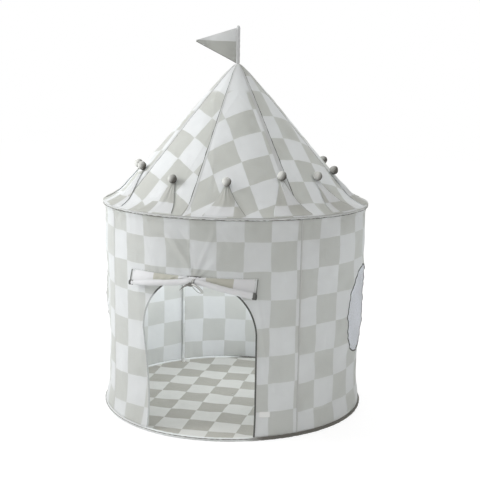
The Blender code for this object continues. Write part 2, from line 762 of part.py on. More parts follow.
def make_elbows(surface):
    """Moulded elbow that joins a wall pole and a roof pole under the eave."""
    corner = around(0, WALL_POLE_RING, ELBOW_HEIGHT)
    up_slope = (roof_pole_point(0, HUB_POLE_END_RADIUS) - corner).normalized()
    down = Vector((0, 0, -1))
    body = rod("elbow", corner + down * SOCKET_LENGTH, corner, SOCKET_RADIUS)
    arm = rod("arm", corner, corner + up_slope * SOCKET_LENGTH, SOCKET_RADIUS, ARM_SIDES)
    knuckle = lathe("knuckle", ball_profile(KNUCKLE_RADIUS), ARM_SIDES, Matrix.Translation(corner))
    bores = []
    for along in (down, up_slope):
        start = corner + along * SOCKET_STOP
        bores.append(rod("bore", start, corner + along * (SOCKET_LENGTH + OVERRUN), POLE_BORE))
    elbow = carved("eave_elbow", body, joins=[arm, knuckle], cuts=bores)
    for name, azimuth in zip(POLE_NAMES, POLE_AZIMUTHS):
        add_piece("eave_elbow_" + name, elbow.copy(), surface, turn=azimuth)


def ball_profile(radius):
    """Half circle for a small ball."""
    profile = []
    for k in range(BOBBLE_RINGS + 1):
        turn = math.pi * k / BOBBLE_RINGS
        across = radius * math.sin(turn) if 0 < k < BOBBLE_RINGS else 0
        profile.append((across, -radius * math.cos(turn)))
    return profile


def make_hub(surface):
    """Moulded hub that fills the peak, takes the four roof poles and holds the flag's pole."""
    inside = (ROOF_CLOTH / 2 + HUB_CLOTH_GAP) / ROOF_SLOPE
    top_radius = COLLAR_RADIUS
    top = PEAK_HEIGHT - inside - top_radius / ROOF_SLOPE
    rim = top - HUB_CONE_HEIGHT
    rim_radius = (PEAK_HEIGHT - inside - rim) * ROOF_SLOPE
    edge = rim - HUB_EDGE_DEPTH
    core = edge - HUB_CORE_DEPTH
    profile = ((0, top), (top_radius, top), (rim_radius, rim), (rim_radius, edge))
    profile += ((HUB_CORE_RADIUS, edge - HUB_EDGE_DEPTH), (HUB_CORE_RADIUS, core), (0, core))
    body = lathe("apex_hub", profile, 2 * ROUND_SIDES)
    arms = []
    socket_bottom = Vector((0, 0, top - HUB_BORE_DEPTH))
    bores = [rod("bore", socket_bottom, Vector((0, 0, top + OVERRUN)), FLAG_BORE)]
    for azimuth in POLE_AZIMUTHS:
        end = roof_pole_point(azimuth, HUB_POLE_END_RADIUS)
        along = (roof_pole_point(azimuth, WALL_POLE_RING) - end).normalized()
        arm_end = end + along * (SOCKET_LENGTH - SOCKET_STOP)
        arms.append(rod("arm", end - along * SOCKET_STOP, arm_end, SOCKET_RADIUS))
        bores.append(rod("bore", end - along * GAP, end + along * (SOCKET_LENGTH + OVERRUN), POLE_BORE))
    add_piece("apex_hub", carved("apex_hub", body, joins=arms, cuts=bores), surface)
    return socket_bottom


def make_flag(socket_bottom, pole_surface, cap_surface, cloth_surface):
    """Flag pole that plugs into the hub, its cap, and a pennant that turns on it."""
    pole_empty = add_axis_empty("flag_pole_axis", socket_bottom)
    start = socket_bottom + Vector((0, 0, GAP))
    end = Vector((0, 0, FLAG_POLE_TOP))
    add_piece("flag_pole", rod("flag_pole", start, end, FLAG_POLE_RADIUS), pole_surface, pole_empty)
    grip = FLAG_POLE_TOP - FLAG_CAP_GRIP
    crown = FLAG_POLE_TOP + GAP
    cap_top = grip + FLAG_CAP_HEIGHT
    outside = FLAG_BORE + FLAG_CAP_WALL
    profile = ((0, crown), (FLAG_BORE, crown), (FLAG_BORE, grip), (outside, grip), (outside, crown))
    profile += ((outside / 2, cap_top), (0, cap_top))
    add_piece("flag_cap", lathe("flag_cap", profile, ROUND_SIDES), cap_surface, pole_empty)
    flag_empty = add_axis_empty("flag_swivel_axis", Vector((0, 0, FLAG_POCKET_BOTTOM)))
    add_piece("flag_pennant", pennant_mesh(grip - GAP), cloth_surface, flag_empty)


def pennant_mesh(top):
    """Three-cornered flag with a pocket for the pole down its wide edge."""
    away = around(FLAG_AZIMUTH, 1, 0)
    aside = around(FLAG_AZIMUTH + 90, 1, 0)
    pocket = []
    for z in (FLAG_POCKET_BOTTOM, top):
        loop = []
        for k in range(ROUND_SIDES):
            turn = 2 * math.pi * (k + 0.5) / ROUND_SIDES
            wide = away * ((FLAG_BORE + FLAG_POCKET_EASE) * math.cos(turn))
            deep = aside * ((FLAG_BORE + FLAG_POCKET_WALL) * math.sin(turn))
            loop.append(wide + deep + Vector((0, 0, z)))
        pocket.append(loop)
    below = Vector((0, 0, FLAG_POCKET_BOTTOM - OVERRUN))
    above = Vector((0, 0, top + OVERRUN))
    low_row = FLAG_POCKET_BOTTOM + CLOTH
    high_row = top - CLOTH
    grids = ([], [])
    for column in range(FLAG_COLUMNS + 1):
        share = column / FLAG_COLUMNS
        out = mix(FLAG_BORE + CLOTH / 2, FLAG_LENGTH, share)
        keep = mix(1, FLAG_TIP_SHARE, share)
        low = FLAG_TIP_HEIGHT - (FLAG_TIP_HEIGHT - low_row) * keep
        high = FLAG_TIP_HEIGHT + (high_row - FLAG_TIP_HEIGHT) * keep
        wave = FLAG_WAVE * math.sin(2 * math.pi * share)
        for grid, lift in zip(grids, (CLOTH / 2, -CLOTH / 2)):
            base = away * out + aside * (wave + lift)
            grid.append([base + Vector((0, 0, z)) for z in (low, (low + high) / 2, high)])
    cloth = sheet("cloth", *grids)
    bore = rod("bore", below, above, FLAG_BORE)
    return carved("flag_pennant", loft("pocket", pocket), joins=[cloth], cuts=[bore])


def flap_station(side):
    """Where the rolled flap's roll lies at a sideways place: its drop and its stand-off."""
    share = (side - FLAP_LEFT) / (FLAP_RIGHT - FLAP_LEFT)
    height = FLAP_TOP - ROLL_DROP * from_table(ROLL_DROP_SHARES, share)
    off = ROLL_STAND_OFF * from_table(ROLL_STAND_OFF_SHARES, share)
    beside = (height - ROLL_RADIUS, height, height + ROLL_RADIUS)
    wall = max(-wall_spot(0, side, z, CLOTH).y for z in beside)
    return Vector((side, -(wall + LOOSE_GAP + off + ROLL_RADIUS), height))


def roll_point(middle, radius, degrees):
    """A point round a roll, turning outwards from straight up."""
    turn = math.radians(degrees)
    return middle + Vector((0, -radius * math.sin(turn), radius * math.cos(turn)))


def roll_turns():
    """Angles round the roll, from one side of the neck that it hangs by to the other."""
    return [mix(ROLL_NECK_ANGLE, 360 - ROLL_NECK_ANGLE, k / ROLL_SIDES) for k in range(ROLL_SIDES + 1)]


def flap_edge(side):
    """The flap's sewn top edge, just clear of the wall."""
    wall = -wall_spot(0, side, FLAP_TOP, CLOTH).y
    return Vector((side, -(wall + LOOSE_GAP), FLAP_TOP))


def make_flap(cloth_surface, tape_surface, ribbon_surface):
    """Door flap, rolled up above the doorway and hung from its sewn top edge."""
    hinge = add_axis_empty("door_flap_axis", flap_edge(0))
    loops = []
    for k in range(FLAP_STATIONS + 1):
        side = mix(FLAP_LEFT, FLAP_RIGHT, k / FLAP_STATIONS)
        top = flap_edge(side)
        middle = flap_station(side)
        loop = [top, top - Vector((0, CLOTH, 0))]
        loop += [roll_point(middle, ROLL_RADIUS, turn) for turn in roll_turns()]
        loops.append(loop)
    add_piece("door_flap", loft("door_flap", loops), cloth_surface, hinge)
    make_flap_edges(tape_surface, hinge)
    make_tie(ribbon_surface, hinge)


def make_flap_edges(surface, hinge):
    """Bound side edges of the flap, which show as a dark end on each side of the roll."""
    step = Vector((EDGE_CAP_LENGTH, 0, 0))
    clear = Vector((GAP, 0, 0))
    left = flap_station(FLAP_LEFT) - clear
    cap = rod("cap", left - step, left, EDGE_CAP_RADIUS)
    add_piece("door_flap_binding_left", cap, surface, hinge)
    right = flap_station(FLAP_RIGHT) + clear
    cap = rod("cap", right, right + step, EDGE_CAP_RADIUS)
    near = Vector((EDGE_BINDING_WIDTH, 0, 0))
    thick = Vector((0, -BINDING_THICKNESS, 0))
    ends = (flap_edge(FLAP_RIGHT) + clear, right - thick / 2)
    strip = loft("strip", [[p, p + near, p + near + thick, p + thick] for p in ends])
    edge = carved("door_flap_binding_right", cap, joins=[strip])
    add_piece("door_flap_binding_right", edge, surface, hinge)


def make_tie(surface, hinge):
    """Ribbon round the roll, with its knot, one loop and one tail."""
    middle = flap_station(TIE_POSITION)
    half = Vector((TIE_WIDTH / 2, 0, 0))
    bore = ROLL_RADIUS + LOOSE_GAP
    wrap = bore + TIE_THICKNESS
    knot_middle = middle + Vector((0, -bore - TIE_KNOT_RADIUS * TIE_KNOT_SEAT_SHARE, 0))
    knot = lathe("knot", ball_profile(TIE_KNOT_RADIUS), ROUND_SIDES, Matrix.Translation(knot_middle))
    tail = knot_middle + Vector((-TIE_TAIL_REACH, 0, -TIE_TAIL_DROP))
    strips = [knot, ribbon_loop(knot_middle), ribbon([knot_middle, (knot_middle + tail) / 2, tail])]
    tie = carved("door_tie", wrap_band(middle, half, bore, wrap), joins=strips)
    add_piece("door_tie", tie, surface, hinge)


def wrap_band(middle, half, bore, wrap):
    """Ribbon round the roll, from one side of its neck to the other."""
    loops = []
    for turn in roll_turns()[1:-1]:
        low = roll_point(middle, bore, turn)
        high = roll_point(middle, wrap, turn)
        loops.append([low - half, low + half, high + half, high - half])
    return loft("wrap", loops)


def ribbon(route):
    """A flat ribbon along a route, its broad side facing up and down."""
    loops = []
    for k, point in enumerate(route):
        ahead = route[min(k + 1, len(route) - 1)] - route[max(k - 1, 0)]
        across = ahead.normalized().cross(Vector((0, 1, 0))).normalized()
        thick = across * (TIE_THICKNESS / 2)
        wide = Vector((0, TIE_WIDTH / 2, 0))
        low = point - thick
        high = point + thick
        loops.append([low - wide, high - wide, high + wide, low + wide])
    return loft("ribbon", loops)


def ribbon_loop(start):
    """The bow's loop: out to the right, down, and back to just beside where it began."""
    route = []
    for k in range(TIE_LOOP_STEPS + 1):
        turn = 2 * math.pi * mix(*TIE_LOOP_SPAN_SHARES, k / TIE_LOOP_STEPS)
        along = TIE_LOOP_REACH * (1 - math.cos(turn)) / 2
        swell = TIE_KNOT_RADIUS * math.sin(turn)
        route.append(start + Vector((along, 0, swell - TIE_LOOP_DROP * along / TIE_LOOP_REACH)))
    return ribbon(route)


def make_label(surface):
    """Small blank label sewn to the wall beside the doorway."""
    half = math.degrees(LABEL_WIDTH / 2 / WALL_TOP_RADIUS)
    low, high = LABEL_AZIMUTH - half, LABEL_AZIMUTH + half
    step = PANEL_SPAN / PANEL_COLUMNS
    bends = [k * step for k in range(PANEL_COLUMNS) if low < k * step < high]
    base = CLOTH / 2 + LOOSE_GAP
    outer = []
    inner = []
    for z in (LABEL_HEIGHT - LABEL_TALL / 2, LABEL_HEIGHT + LABEL_TALL / 2):
        outer_row = []
        inner_row = []
        for azimuth in (low, *bends, high):
            radius = wall_radius(azimuth, z) + base
            outer_row.append(around(azimuth, radius + LABEL_THICKNESS, z))
            inner_row.append(around(azimuth, radius, z))
        outer.append(outer_row)
        inner.append(inner_row)
    add_piece("label", sheet("label", outer, inner), surface)


def build():
    """Make every piece of the tent."""
    clear_scene()
    wall_cloth = finish("wall_cloth", (0.62, 0.63, 0.62), 0.85)
    roof_cloth = finish("roof_cloth", (0.58, 0.59, 0.58), 0.85)
    floor_cloth = finish("floor_cloth", (0.42, 0.42, 0.39), 0.9)
    hem_cloth = finish("hem_cloth", (0.5, 0.51, 0.5), 0.85)
    dark_tape = finish("dark_tape", (0.16, 0.16, 0.15), 0.8)
    net = finish("net", (0.6, 0.61, 0.64), 0.9)
    bobble_cloth = finish("bobble_cloth", (0.3, 0.29, 0.27), 0.85)
    flap_cloth = finish("flap_cloth", (0.62, 0.63, 0.65), 0.85)
    ribbon_cloth = finish("ribbon_cloth", (0.3, 0.3, 0.29), 0.7)
    label_cloth = finish("label_cloth", (0.8, 0.8, 0.8), 0.7)
    steel = finish("spring_steel", (0.45, 0.46, 0.48), 0.35, 1.0)
    glass_rod = finish("pole_rod", (0.78, 0.78, 0.76), 0.45)
    moulding = finish("moulding", (0.85, 0.85, 0.83), 0.5)

    make_floor(floor_cloth)
    make_hem("base_hem", BASE_HOOP_RADIUS, HEM_HALF_HEIGHT, hem_cloth)
    make_hoop("base_hoop", BASE_HOOP_RADIUS, HEM_HALF_HEIGHT, steel)
    make_walls(wall_cloth)
    make_door_binding(dark_tape)
    make_windows(dark_tape, net)
    make_hem("eave_hem", EAVE_HOOP_RADIUS, EAVE_HEIGHT, hem_cloth)
    make_hoop("eave_hoop", EAVE_HOOP_RADIUS, EAVE_HEIGHT, steel)
    make_gores(roof_cloth)
    make_crown(roof_cloth, bobble_cloth)
    make_feet(moulding)
    make_poles(glass_rod)
    make_elbows(moulding)
    socket_bottom = make_hub(moulding)
    make_flag(socket_bottom, glass_rod, dark_tape, roof_cloth)
    make_flap(flap_cloth, dark_tape, ribbon_cloth)
    make_label(label_cloth)


build()
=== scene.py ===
"""Looks of a round castle play tent: printed cloth on two sprung hoops and four thin poles.

Metres, +Z up. The doorway faces -Y. An azimuth is in degrees, 0 at the doorway, growing to +X.
"""

import json
import math

import bpy
import numpy as np
from mathutils import Matrix, Vector

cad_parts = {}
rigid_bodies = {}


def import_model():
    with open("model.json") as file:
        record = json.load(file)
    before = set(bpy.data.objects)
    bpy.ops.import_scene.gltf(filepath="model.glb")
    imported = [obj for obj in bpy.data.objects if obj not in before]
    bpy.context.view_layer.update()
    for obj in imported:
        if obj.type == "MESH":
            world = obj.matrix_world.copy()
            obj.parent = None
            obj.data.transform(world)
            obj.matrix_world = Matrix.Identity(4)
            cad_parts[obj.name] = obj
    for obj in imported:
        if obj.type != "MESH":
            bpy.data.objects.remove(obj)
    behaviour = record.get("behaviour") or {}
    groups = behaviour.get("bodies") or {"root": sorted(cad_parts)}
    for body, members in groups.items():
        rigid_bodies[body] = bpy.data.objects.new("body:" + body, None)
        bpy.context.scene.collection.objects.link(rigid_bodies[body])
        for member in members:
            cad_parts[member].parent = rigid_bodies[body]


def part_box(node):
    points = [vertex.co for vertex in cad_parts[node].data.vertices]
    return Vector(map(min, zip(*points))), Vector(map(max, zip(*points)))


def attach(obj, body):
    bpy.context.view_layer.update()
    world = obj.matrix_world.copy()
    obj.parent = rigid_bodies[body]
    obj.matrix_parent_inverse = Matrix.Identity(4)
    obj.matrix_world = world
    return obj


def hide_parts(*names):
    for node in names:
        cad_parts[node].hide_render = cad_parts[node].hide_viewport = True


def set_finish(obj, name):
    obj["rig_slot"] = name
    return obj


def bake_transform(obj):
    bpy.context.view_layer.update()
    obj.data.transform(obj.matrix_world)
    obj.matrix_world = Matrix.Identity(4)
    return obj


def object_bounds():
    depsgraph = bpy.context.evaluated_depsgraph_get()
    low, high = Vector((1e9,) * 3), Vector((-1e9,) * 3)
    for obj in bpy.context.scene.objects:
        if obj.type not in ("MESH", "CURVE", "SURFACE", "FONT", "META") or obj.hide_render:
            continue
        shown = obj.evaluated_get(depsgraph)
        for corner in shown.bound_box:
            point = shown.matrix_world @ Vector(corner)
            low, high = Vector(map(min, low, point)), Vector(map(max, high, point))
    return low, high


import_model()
cad_box = [list(corner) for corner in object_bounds()]
tent = "tent"

# Studio: a white floor, an even white sky, a broad cool lamp on the tent's left, a weaker one behind it
# that shines through the cloth, and a small one under the roof for the back wall and the floor inside.
# The camera stands where the photograph was taken from, a little to the right of the doorway.
CAMERA_AZIMUTH = 17.5
CAMERA_DISTANCE = 3.7113
CAMERA_HEIGHT = 1.2652
CAMERA_PITCH = 9.69
CAMERA_YAW = 0.294
CAMERA_ROLL = 0.9
CAMERA_LENS = 72.05
SKY_STRENGTH = 0.80
SKY_COLOUR = (1.0, 0.996, 0.975)
KEY_AZIMUTH = -72
KEY_ELEVATION = 24
KEY_DISTANCE = 4.2
KEY_SIZE = 1.8
KEY_SHARE = 0.78
KEY_COLOUR = (0.96, 0.98, 0.99)
BACK_AZIMUTH = 190
BACK_SHARE = 0.30
INNER_HEIGHT = 1.0
INNER_SIZE = 0.24
INNER_SHARE = 1.1
INNER_AIM = (-0.18, 0.46, 0.30)
INNER_COLOUR = (0.94, 0.985, 1.0)
STAGE_REACH = 12
STAGE_DROP = 0.0004
STAGE_COLOUR = (0.88, 0.88, 0.88, 1)
STAGE_GLOW = 1.08
STAGE_GLOW_SHARE = 0.8
WHITE = (1, 1, 1, 1)


def around(azimuth, radius, z):
    """The point at an azimuth, a distance from the tent's axis, and a height."""
    turn = math.radians(azimuth)
    return Vector((radius * math.sin(turn), -radius * math.cos(turn), z))


class Wire:
    """A socket of a material's tree, on which sums are written as plain expressions."""

    def __init__(self, tree, socket=None):
        self.tree = tree
        self.socket = socket

    def node(self, kind, settings, values, out=0):
        """Any node: its settings are set first, and then what goes into its sockets."""
        made = self.tree.nodes.new(kind)
        for name, value in settings.items():
            setattr(made, name, value)
        for name, value in values.items():
            if isinstance(value, Wire):
                self.tree.links.new(value.socket, made.inputs[name])
            else:
                made.inputs[name].default_value = value
        return Wire(self.tree, made.outputs[out])

    def sum(self, operation, *values):
        """A Math node over numbers and wires."""
        return self.node("ShaderNodeMath", {"operation": operation}, dict(enumerate(values)))

    def blend(self, low, high):
        """A colour between two others, by this wire."""
        return self.node("ShaderNodeMix", {"data_type": "RGBA"}, {0: self, 6: low, 7: high}, out=2)

    def between(self, low, high):
        """This wire taken from 0 at low to 1 at high, and held there outside them."""
        settings = {"interpolation_type": "SMOOTHSTEP"}
        return self.node("ShaderNodeMapRange", settings, {0: self, 1: low, 2: high})

    def __add__(self, other):
        return self.sum("ADD", self, other)

    __radd__ = __add__

    def __sub__(self, other):
        return self.sum("SUBTRACT", self, other)

    def __rsub__(self, other):
        return self.sum("SUBTRACT", other, self)

    def __mul__(self, other):
        return self.sum("MULTIPLY", self, other)

    __rmul__ = __mul__

    def __truediv__(self, other):
        return self.sum("DIVIDE", self, other)

    def __mod__(self, other):
        return self.sum("FLOORED_MODULO", self, other)

    def floor(self):
        return self.sum("FLOOR", self)

    def sine(self):
        return self.sum("SINE", self)


def new_material(name):
    """An empty material, with a wire to build its tree from and its output node."""
    material = bpy.data.materials.new(name)
    material.use_nodes = True
    material.node_tree.nodes.clear()
    output = material.node_tree.nodes.new("ShaderNodeOutputMaterial")
    return material, Wire(material.node_tree), output


def studio_ray(wire):
    """1 for a ray that comes straight from the camera, off a mirror or through glass."""
    rays = wire.node("ShaderNodeLightPath", {}, {})
    seen = Wire(wire.tree, rays.socket.node.outputs["Is Camera Ray"])
    glossy = Wire(wire.tree, rays.socket.node.outputs["Is Glossy Ray"])
    through = Wire(wire.tree, rays.socket.node.outputs["Is Transmission Ray"])
    return seen, seen.sum("MAXIMUM", seen.sum("MAXIMUM", seen, glossy), through)


def make_sky():
    """A white sky that lights the tent evenly, and shows as pure white."""
    world = bpy.data.worlds.new("studio_sky")
    world.use_nodes = True
    world.node_tree.nodes.clear()
    wire = Wire(world.node_tree)
    output = world.node_tree.nodes.new("ShaderNodeOutputWorld")
    shown = studio_ray(wire)[1]
    strength = SKY_STRENGTH + shown * (1 - SKY_STRENGTH)
    tint = shown.blend((*SKY_COLOUR, 1), WHITE)
    sky = wire.node("ShaderNodeBackground", {}, {"Color": tint, "Strength": strength})
    world.node_tree.links.new(sky.socket, output.inputs["Surface"])
    bpy.context.scene.world = world


def make_stage():
    """A pale floor that the camera sees as white, with a trace of the tent's shadow."""
    material, wire, output = new_material("studio_floor")
    seen = studio_ray(wire)[0]
    matt = wire.node("ShaderNodeBsdfDiffuse", {}, {"Color": STAGE_COLOUR})
    glow = wire.node("ShaderNodeEmission", {}, {"Color": WHITE, "Strength": STAGE_GLOW})
    both = wire.node("ShaderNodeMixShader", {}, {0: seen * STAGE_GLOW_SHARE, 1: matt, 2: glow})
    wire.tree.links.new(both.socket, output.inputs["Surface"])
    mesh = bpy.data.meshes.new("studio_floor")
    ends = ((-1, -1), (1, -1), (1, 1), (-1, 1))
    corners = [(x * STAGE_REACH, y * STAGE_REACH, -STAGE_DROP) for x, y in ends]
    mesh.from_pydata(corners, [], [(0, 1, 2, 3)])
    mesh.materials.append(material)
    floor = bpy.data.objects.new("studio_floor", mesh)
    bpy.context.collection.objects.link(floor)


def make_lamp(name, place, aim, size, share, colour):
    """A broad lamp that adds a share of full white on a face turned to it, where it aims."""
    lamp = bpy.data.lights.new(name, "AREA")
    lamp.size = size
    lamp.color = colour
    lamp.energy = share * math.pi ** 2 * (aim - place).length_squared
    holder = bpy.data.objects.new(name, lamp)
    turn = (aim - place).to_track_quat("-Z", "Y")
    holder.matrix_world = Matrix.Translation(place) @ turn.to_matrix().to_4x4()
    bpy.context.collection.objects.link(holder)


def make_lamps():
    """The key lamp, the lamp behind the tent and the one inside it."""
    middle = Vector((0, 0, cad_box[1][2] / 2))
    flat = KEY_DISTANCE * math.cos(math.radians(KEY_ELEVATION))
    high = KEY_DISTANCE * math.sin(math.radians(KEY_ELEVATION))
    key = middle + around(KEY_AZIMUTH, flat, high)
    make_lamp("key_lamp", key, middle, KEY_SIZE, KEY_SHARE, KEY_COLOUR)
    behind = middle + around(BACK_AZIMUTH, flat, high)
    make_lamp("back_lamp", behind, middle, KEY_SIZE, BACK_SHARE, KEY_COLOUR)
    inside = Vector((0, 0, INNER_HEIGHT))
    make_lamp("inner_lamp", inside, Vector(INNER_AIM), INNER_SIZE, INNER_SHARE, INNER_COLOUR)


def make_camera():
    """The photograph's viewpoint."""
    lens = bpy.data.cameras.new("camera")
    lens.lens = CAMERA_LENS
    camera = bpy.data.objects.new("camera", lens)
    turn = Matrix.Rotation(math.radians(CAMERA_AZIMUTH - CAMERA_YAW), 4, "Z")
    pitch = Matrix.Rotation(math.radians(90 - CAMERA_PITCH), 4, "X")
    roll = Matrix.Rotation(math.radians(CAMERA_ROLL), 4, "Z")
    place = around(CAMERA_AZIMUTH, CAMERA_DISTANCE, CAMERA_HEIGHT)
    camera.matrix_world = Matrix.Translation(place) @ turn @ pitch @ roll
    bpy.context.collection.objects.link(camera)
    bpy.context.scene.camera = camera


make_sky()
make_stage()
make_lamps()
make_camera()
bpy.context.scene.view_settings.view_transform = "Standard"

# Floor sheet: coated cloth printed with the check in a warmer, darker shade, sewn in all round.
# It lies flat on the ground with soft wrinkles, and climbs a little to the seam at its edge.
BASE_RADIUS = 0.4975
BULGE = 0.019
BULGE_AZIMUTH = -14
BULGE_REACH = 38
BULGE_HEIGHT = 0.16
BULGE_POWER = 1.3
HEM_HALF = 0.0065
SQUARE = 0.1
CLOTH = 0.0008
FLOOR_SQUARE = 0.0995
FLOOR_PRINT_TURN = 4.44
FLOOR_PRINT_AT = (-0.2548, 0.2017)
PRINT_PULL = 0.017
FLOOR_LIGHT = (0.47, 0.465, 0.445)
FLOOR_DARK = (0.305, 0.295, 0.265)
FLOOR_RINGS = 90
FLOOR_SPOKES = 260
FLOOR_START_SHARE = 0.004
FLOOR_LIFT = 0.0011
FLOOR_WRINKLE = 0.0022
FLOOR_EDGE_RISE = 0.0065
FLOOR_WRINKLE_SIZE = 0.16
FLOOR_WRINKLE_SLACK = 0.25
FLOOR_FINE_SIZE = 0.05
FLOOR_FINE_SHARE = 0.3
FLOOR_FLAT_EDGE = 0.04
FLOOR_EDGE_WIDTH = 0.030
SWELL_PACES = (0.7, 1.5)
SWELL_HEIGHT = 1.6
PRINT_RAGGED = 0.0012
WEAVE = 0.0021
DYE_STREAK = 0.045
DYE_ROUGH = 0.2
CLOTH_ROUGH = 0.78
CLOTH_RELIEF = 0.0009
CLOTH_GLOSS = 0.25
CLOTH_SHEEN = 0.12
SHEEN_ROUGH = 0.5
TRANSLUCENT_SHARE = 0.47
THROUGH_TINT = (0.97, 1.0, 1.04)


def unit(value):
    """A value held between 0 and 1."""
    return np.clip(value, 0, 1)


def bell(away, width, power=2):
    """1 in the middle, falling to 0 past a width. A higher power has a flatter top."""
    return np.exp(-(away / width) ** power)


def pairs(first, second):
    """Two grids of shapes that fit together, as one grid of pairs."""
    return np.stack(np.broadcast_arrays(first, second), axis=-1)


def swell(x, y, size, seed, waves=7):
    """Smooth hills over a plane from -1 to 1, about size across, always the same for a seed."""
    draw = np.random.default_rng(seed)
    total = np.zeros(np.broadcast(x, y).shape)
    for _ in range(waves):
        turn = draw.uniform(0, 2 * math.pi)
        pace = 2 * math.pi / (size * draw.uniform(*SWELL_PACES))
        start = draw.uniform(0, 2 * math.pi)
        total = total + np.sin((x * math.cos(turn) + y * math.sin(turn)) * pace + start)
    return total / waves ** 0.5 / SWELL_HEIGHT


def noise(place, scale, detail, distortion=0.0, out=0):
    """Cloudy noise over a piece's places. Its value is output 0 and its colour output 1."""
    values = {"Vector": place, "Scale": scale, "Detail": detail, "Distortion": distortion}
    return place.node("ShaderNodeTexNoise", {}, values, out=out)


def first_two(vector):
    """The x and the y of a wire that carries a vector."""
    split = vector.node("ShaderNodeSeparateXYZ", {}, {0: vector}).socket.node
    return Wire(vector.tree, split.outputs[0]), Wire(vector.tree, split.outputs[1])


def lit_through(wire, surface, light, dark, through):
    """A cloth's surface, mixed with the light that comes through it from behind."""
    if not through:
        return surface
    middle = tuple((a + b) / 2 * part for a, b, part in zip(light, dark, THROUGH_TINT))
    passed = wire.node("ShaderNodeBsdfTranslucent", {}, {"Color": (*middle, 1)})
    return wire.node("ShaderNodeMixShader", {}, {0: through, 1: surface, 2: passed})


def cloth_material(name, light, dark, through=TRANSLUCENT_SHARE):
    """Plain-woven cloth with a printed check, on the piece's own print coordinates in metres."""
    material, wire, output = new_material(name)
    place = wire.node("ShaderNodeUVMap", {"uv_map": "print"}, {})
    across, along = first_two(place)
    printed = wire.node("ShaderNodeAttribute", {"attribute_name": "print_share"}, {}, out=2)
    ragged = (noise(place, 260.0, 2.0) - 0.5) * PRINT_RAGGED
    pull_across, pull_along = first_two(noise(place, 7.0, 2.0, out=1))
    column = ((across + ragged + (pull_across - 0.5) * PRINT_PULL) / SQUARE).floor()
    row = ((along + ragged + (pull_along - 0.5) * PRINT_PULL) / SQUARE).floor()
    check = (column + row) % 2.0
    tone = (check * printed).blend((*light, 1), (*dark, 1))
    dye = noise(place, 26.0, 6.0)
    cloud = noise(place, 5.5, 3.0)
    shade = 1 + (dye - 0.5) * DYE_STREAK * 2 + (cloud - 0.5) * DYE_STREAK * 1.6
    grey = wire.node("ShaderNodeCombineColor", {}, {0: shade, 1: shade, 2: shade})
    settings = {"data_type": "RGBA", "blend_type": "MULTIPLY"}
    colour = wire.node("ShaderNodeMix", settings, {0: 1.0, 6: tone, 7: grey}, out=2)
    pace = 2 * math.pi / WEAVE
    threads = (across * pace).sine() * (along * pace).sine()
    slub = noise(place, 420.0, 3.0)
    crease = noise(place, 34.0, 5.0, distortion=1.2)
    height = threads * 0.25 + slub * 0.5 + crease * 3.0
    bump = wire.node("ShaderNodeBump", {}, {"Strength": 0.35, "Distance": CLOTH_RELIEF, "Height": height})
    values = {"Base Color": colour, "Roughness": CLOTH_ROUGH + (dye - 0.5) * DYE_ROUGH, "Normal": bump}
    values |= {"Sheen Weight": CLOTH_SHEEN, "Sheen Roughness": SHEEN_ROUGH, "Specular IOR Level": CLOTH_GLOSS}
    surface = wire.node("ShaderNodeBsdfPrincipled", {}, values)
    surface = lit_through(wire, surface, light, dark, through)
    wire.tree.links.new(surface.socket, output.inputs["Surface"])
    return material


def show(name, mesh, material, body, slot, *stands_for):
    """Put a finished mesh into the scene as a piece that rides on a body."""
    mesh.materials.clear()
    mesh.materials.append(material)
    mesh.shade_smooth()
    piece = bpy.data.objects.new(name, mesh)
    bpy.context.collection.objects.link(piece)
    if body:
        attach(piece, body)
    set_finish(piece, slot)
    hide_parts(*stands_for)
    return piece


def cloth_mesh(name, points, prints, keep=None, ring=False, share=None):
    """A sheet from a grid of points, with print coordinates. A ring joins its last column to its first.

    The print of a ring runs on round it, or meets itself if the ring is "flat".
    """
    rows, columns = points.shape[:2]
    index = np.arange(rows * columns).reshape(rows, columns)
    if ring:
        index = np.concatenate([index, index[:, :1]], axis=1)
        wrapped = prints[:, :1] + (prints[:, 1:2] - prints[:, :1]) * columns * (ring != "flat")
        prints = np.concatenate([prints, wrapped], axis=1)
    quads = np.stack([index[:-1, :-1], index[:-1, 1:], index[1:, 1:], index[1:, :-1]], axis=-1)
    corners = np.stack([prints[:-1, :-1], prints[:-1, 1:], prints[1:, 1:], prints[1:, :-1]], axis=2)
    if keep is None:
        keep = np.ones(quads.shape[:2], bool)
    quads = quads[keep]
    corners = corners[keep]
    used, packed = np.unique(quads, return_inverse=True)
    mesh = bpy.data.meshes.new(name)
    vertices = points.reshape(-1, 3)[used]
    mesh.from_pydata(vertices.tolist(), [], packed.reshape(-1, 4).tolist())
    layer = mesh.uv_layers.new(name="print")
    layer.data.foreach_set("uv", corners.reshape(-1).astype(np.float32))
    attribute = mesh.attributes.new("print_share", "FLOAT", "POINT")
    shares = np.ones(len(used)) if share is None else share.reshape(-1)[used]
    attribute.data.foreach_set("value", shares.astype(np.float32))
    return mesh


def thicken(piece, thickness=CLOTH):
    """Give a sheet its cloth's thickness, half to each side."""
    wall = piece.modifiers.new("cloth_thickness", "SOLIDIFY")
    wall.thickness = thickness
    wall.offset = 0
    return piece


def place_points(azimuth, radius, z):
    """Grids of azimuths in degrees, distances from the axis and heights, as one grid of points.

    The base hoop isn't quite round: it stands out by the doorway, and takes the cloth along.
    """
    off = (np.mod(azimuth - BULGE_AZIMUTH + 180, 360) - 180) / BULGE_REACH
    near_ground = unit(1 - z / BULGE_HEIGHT) ** BULGE_POWER
    radius = radius + BULGE * np.exp(-off ** 2) * near_ground * unit(radius / BASE_RADIUS) ** 4
    turn = np.radians(azimuth)
    return np.stack(np.broadcast_arrays(radius * np.sin(turn), -radius * np.cos(turn), z), axis=-1)


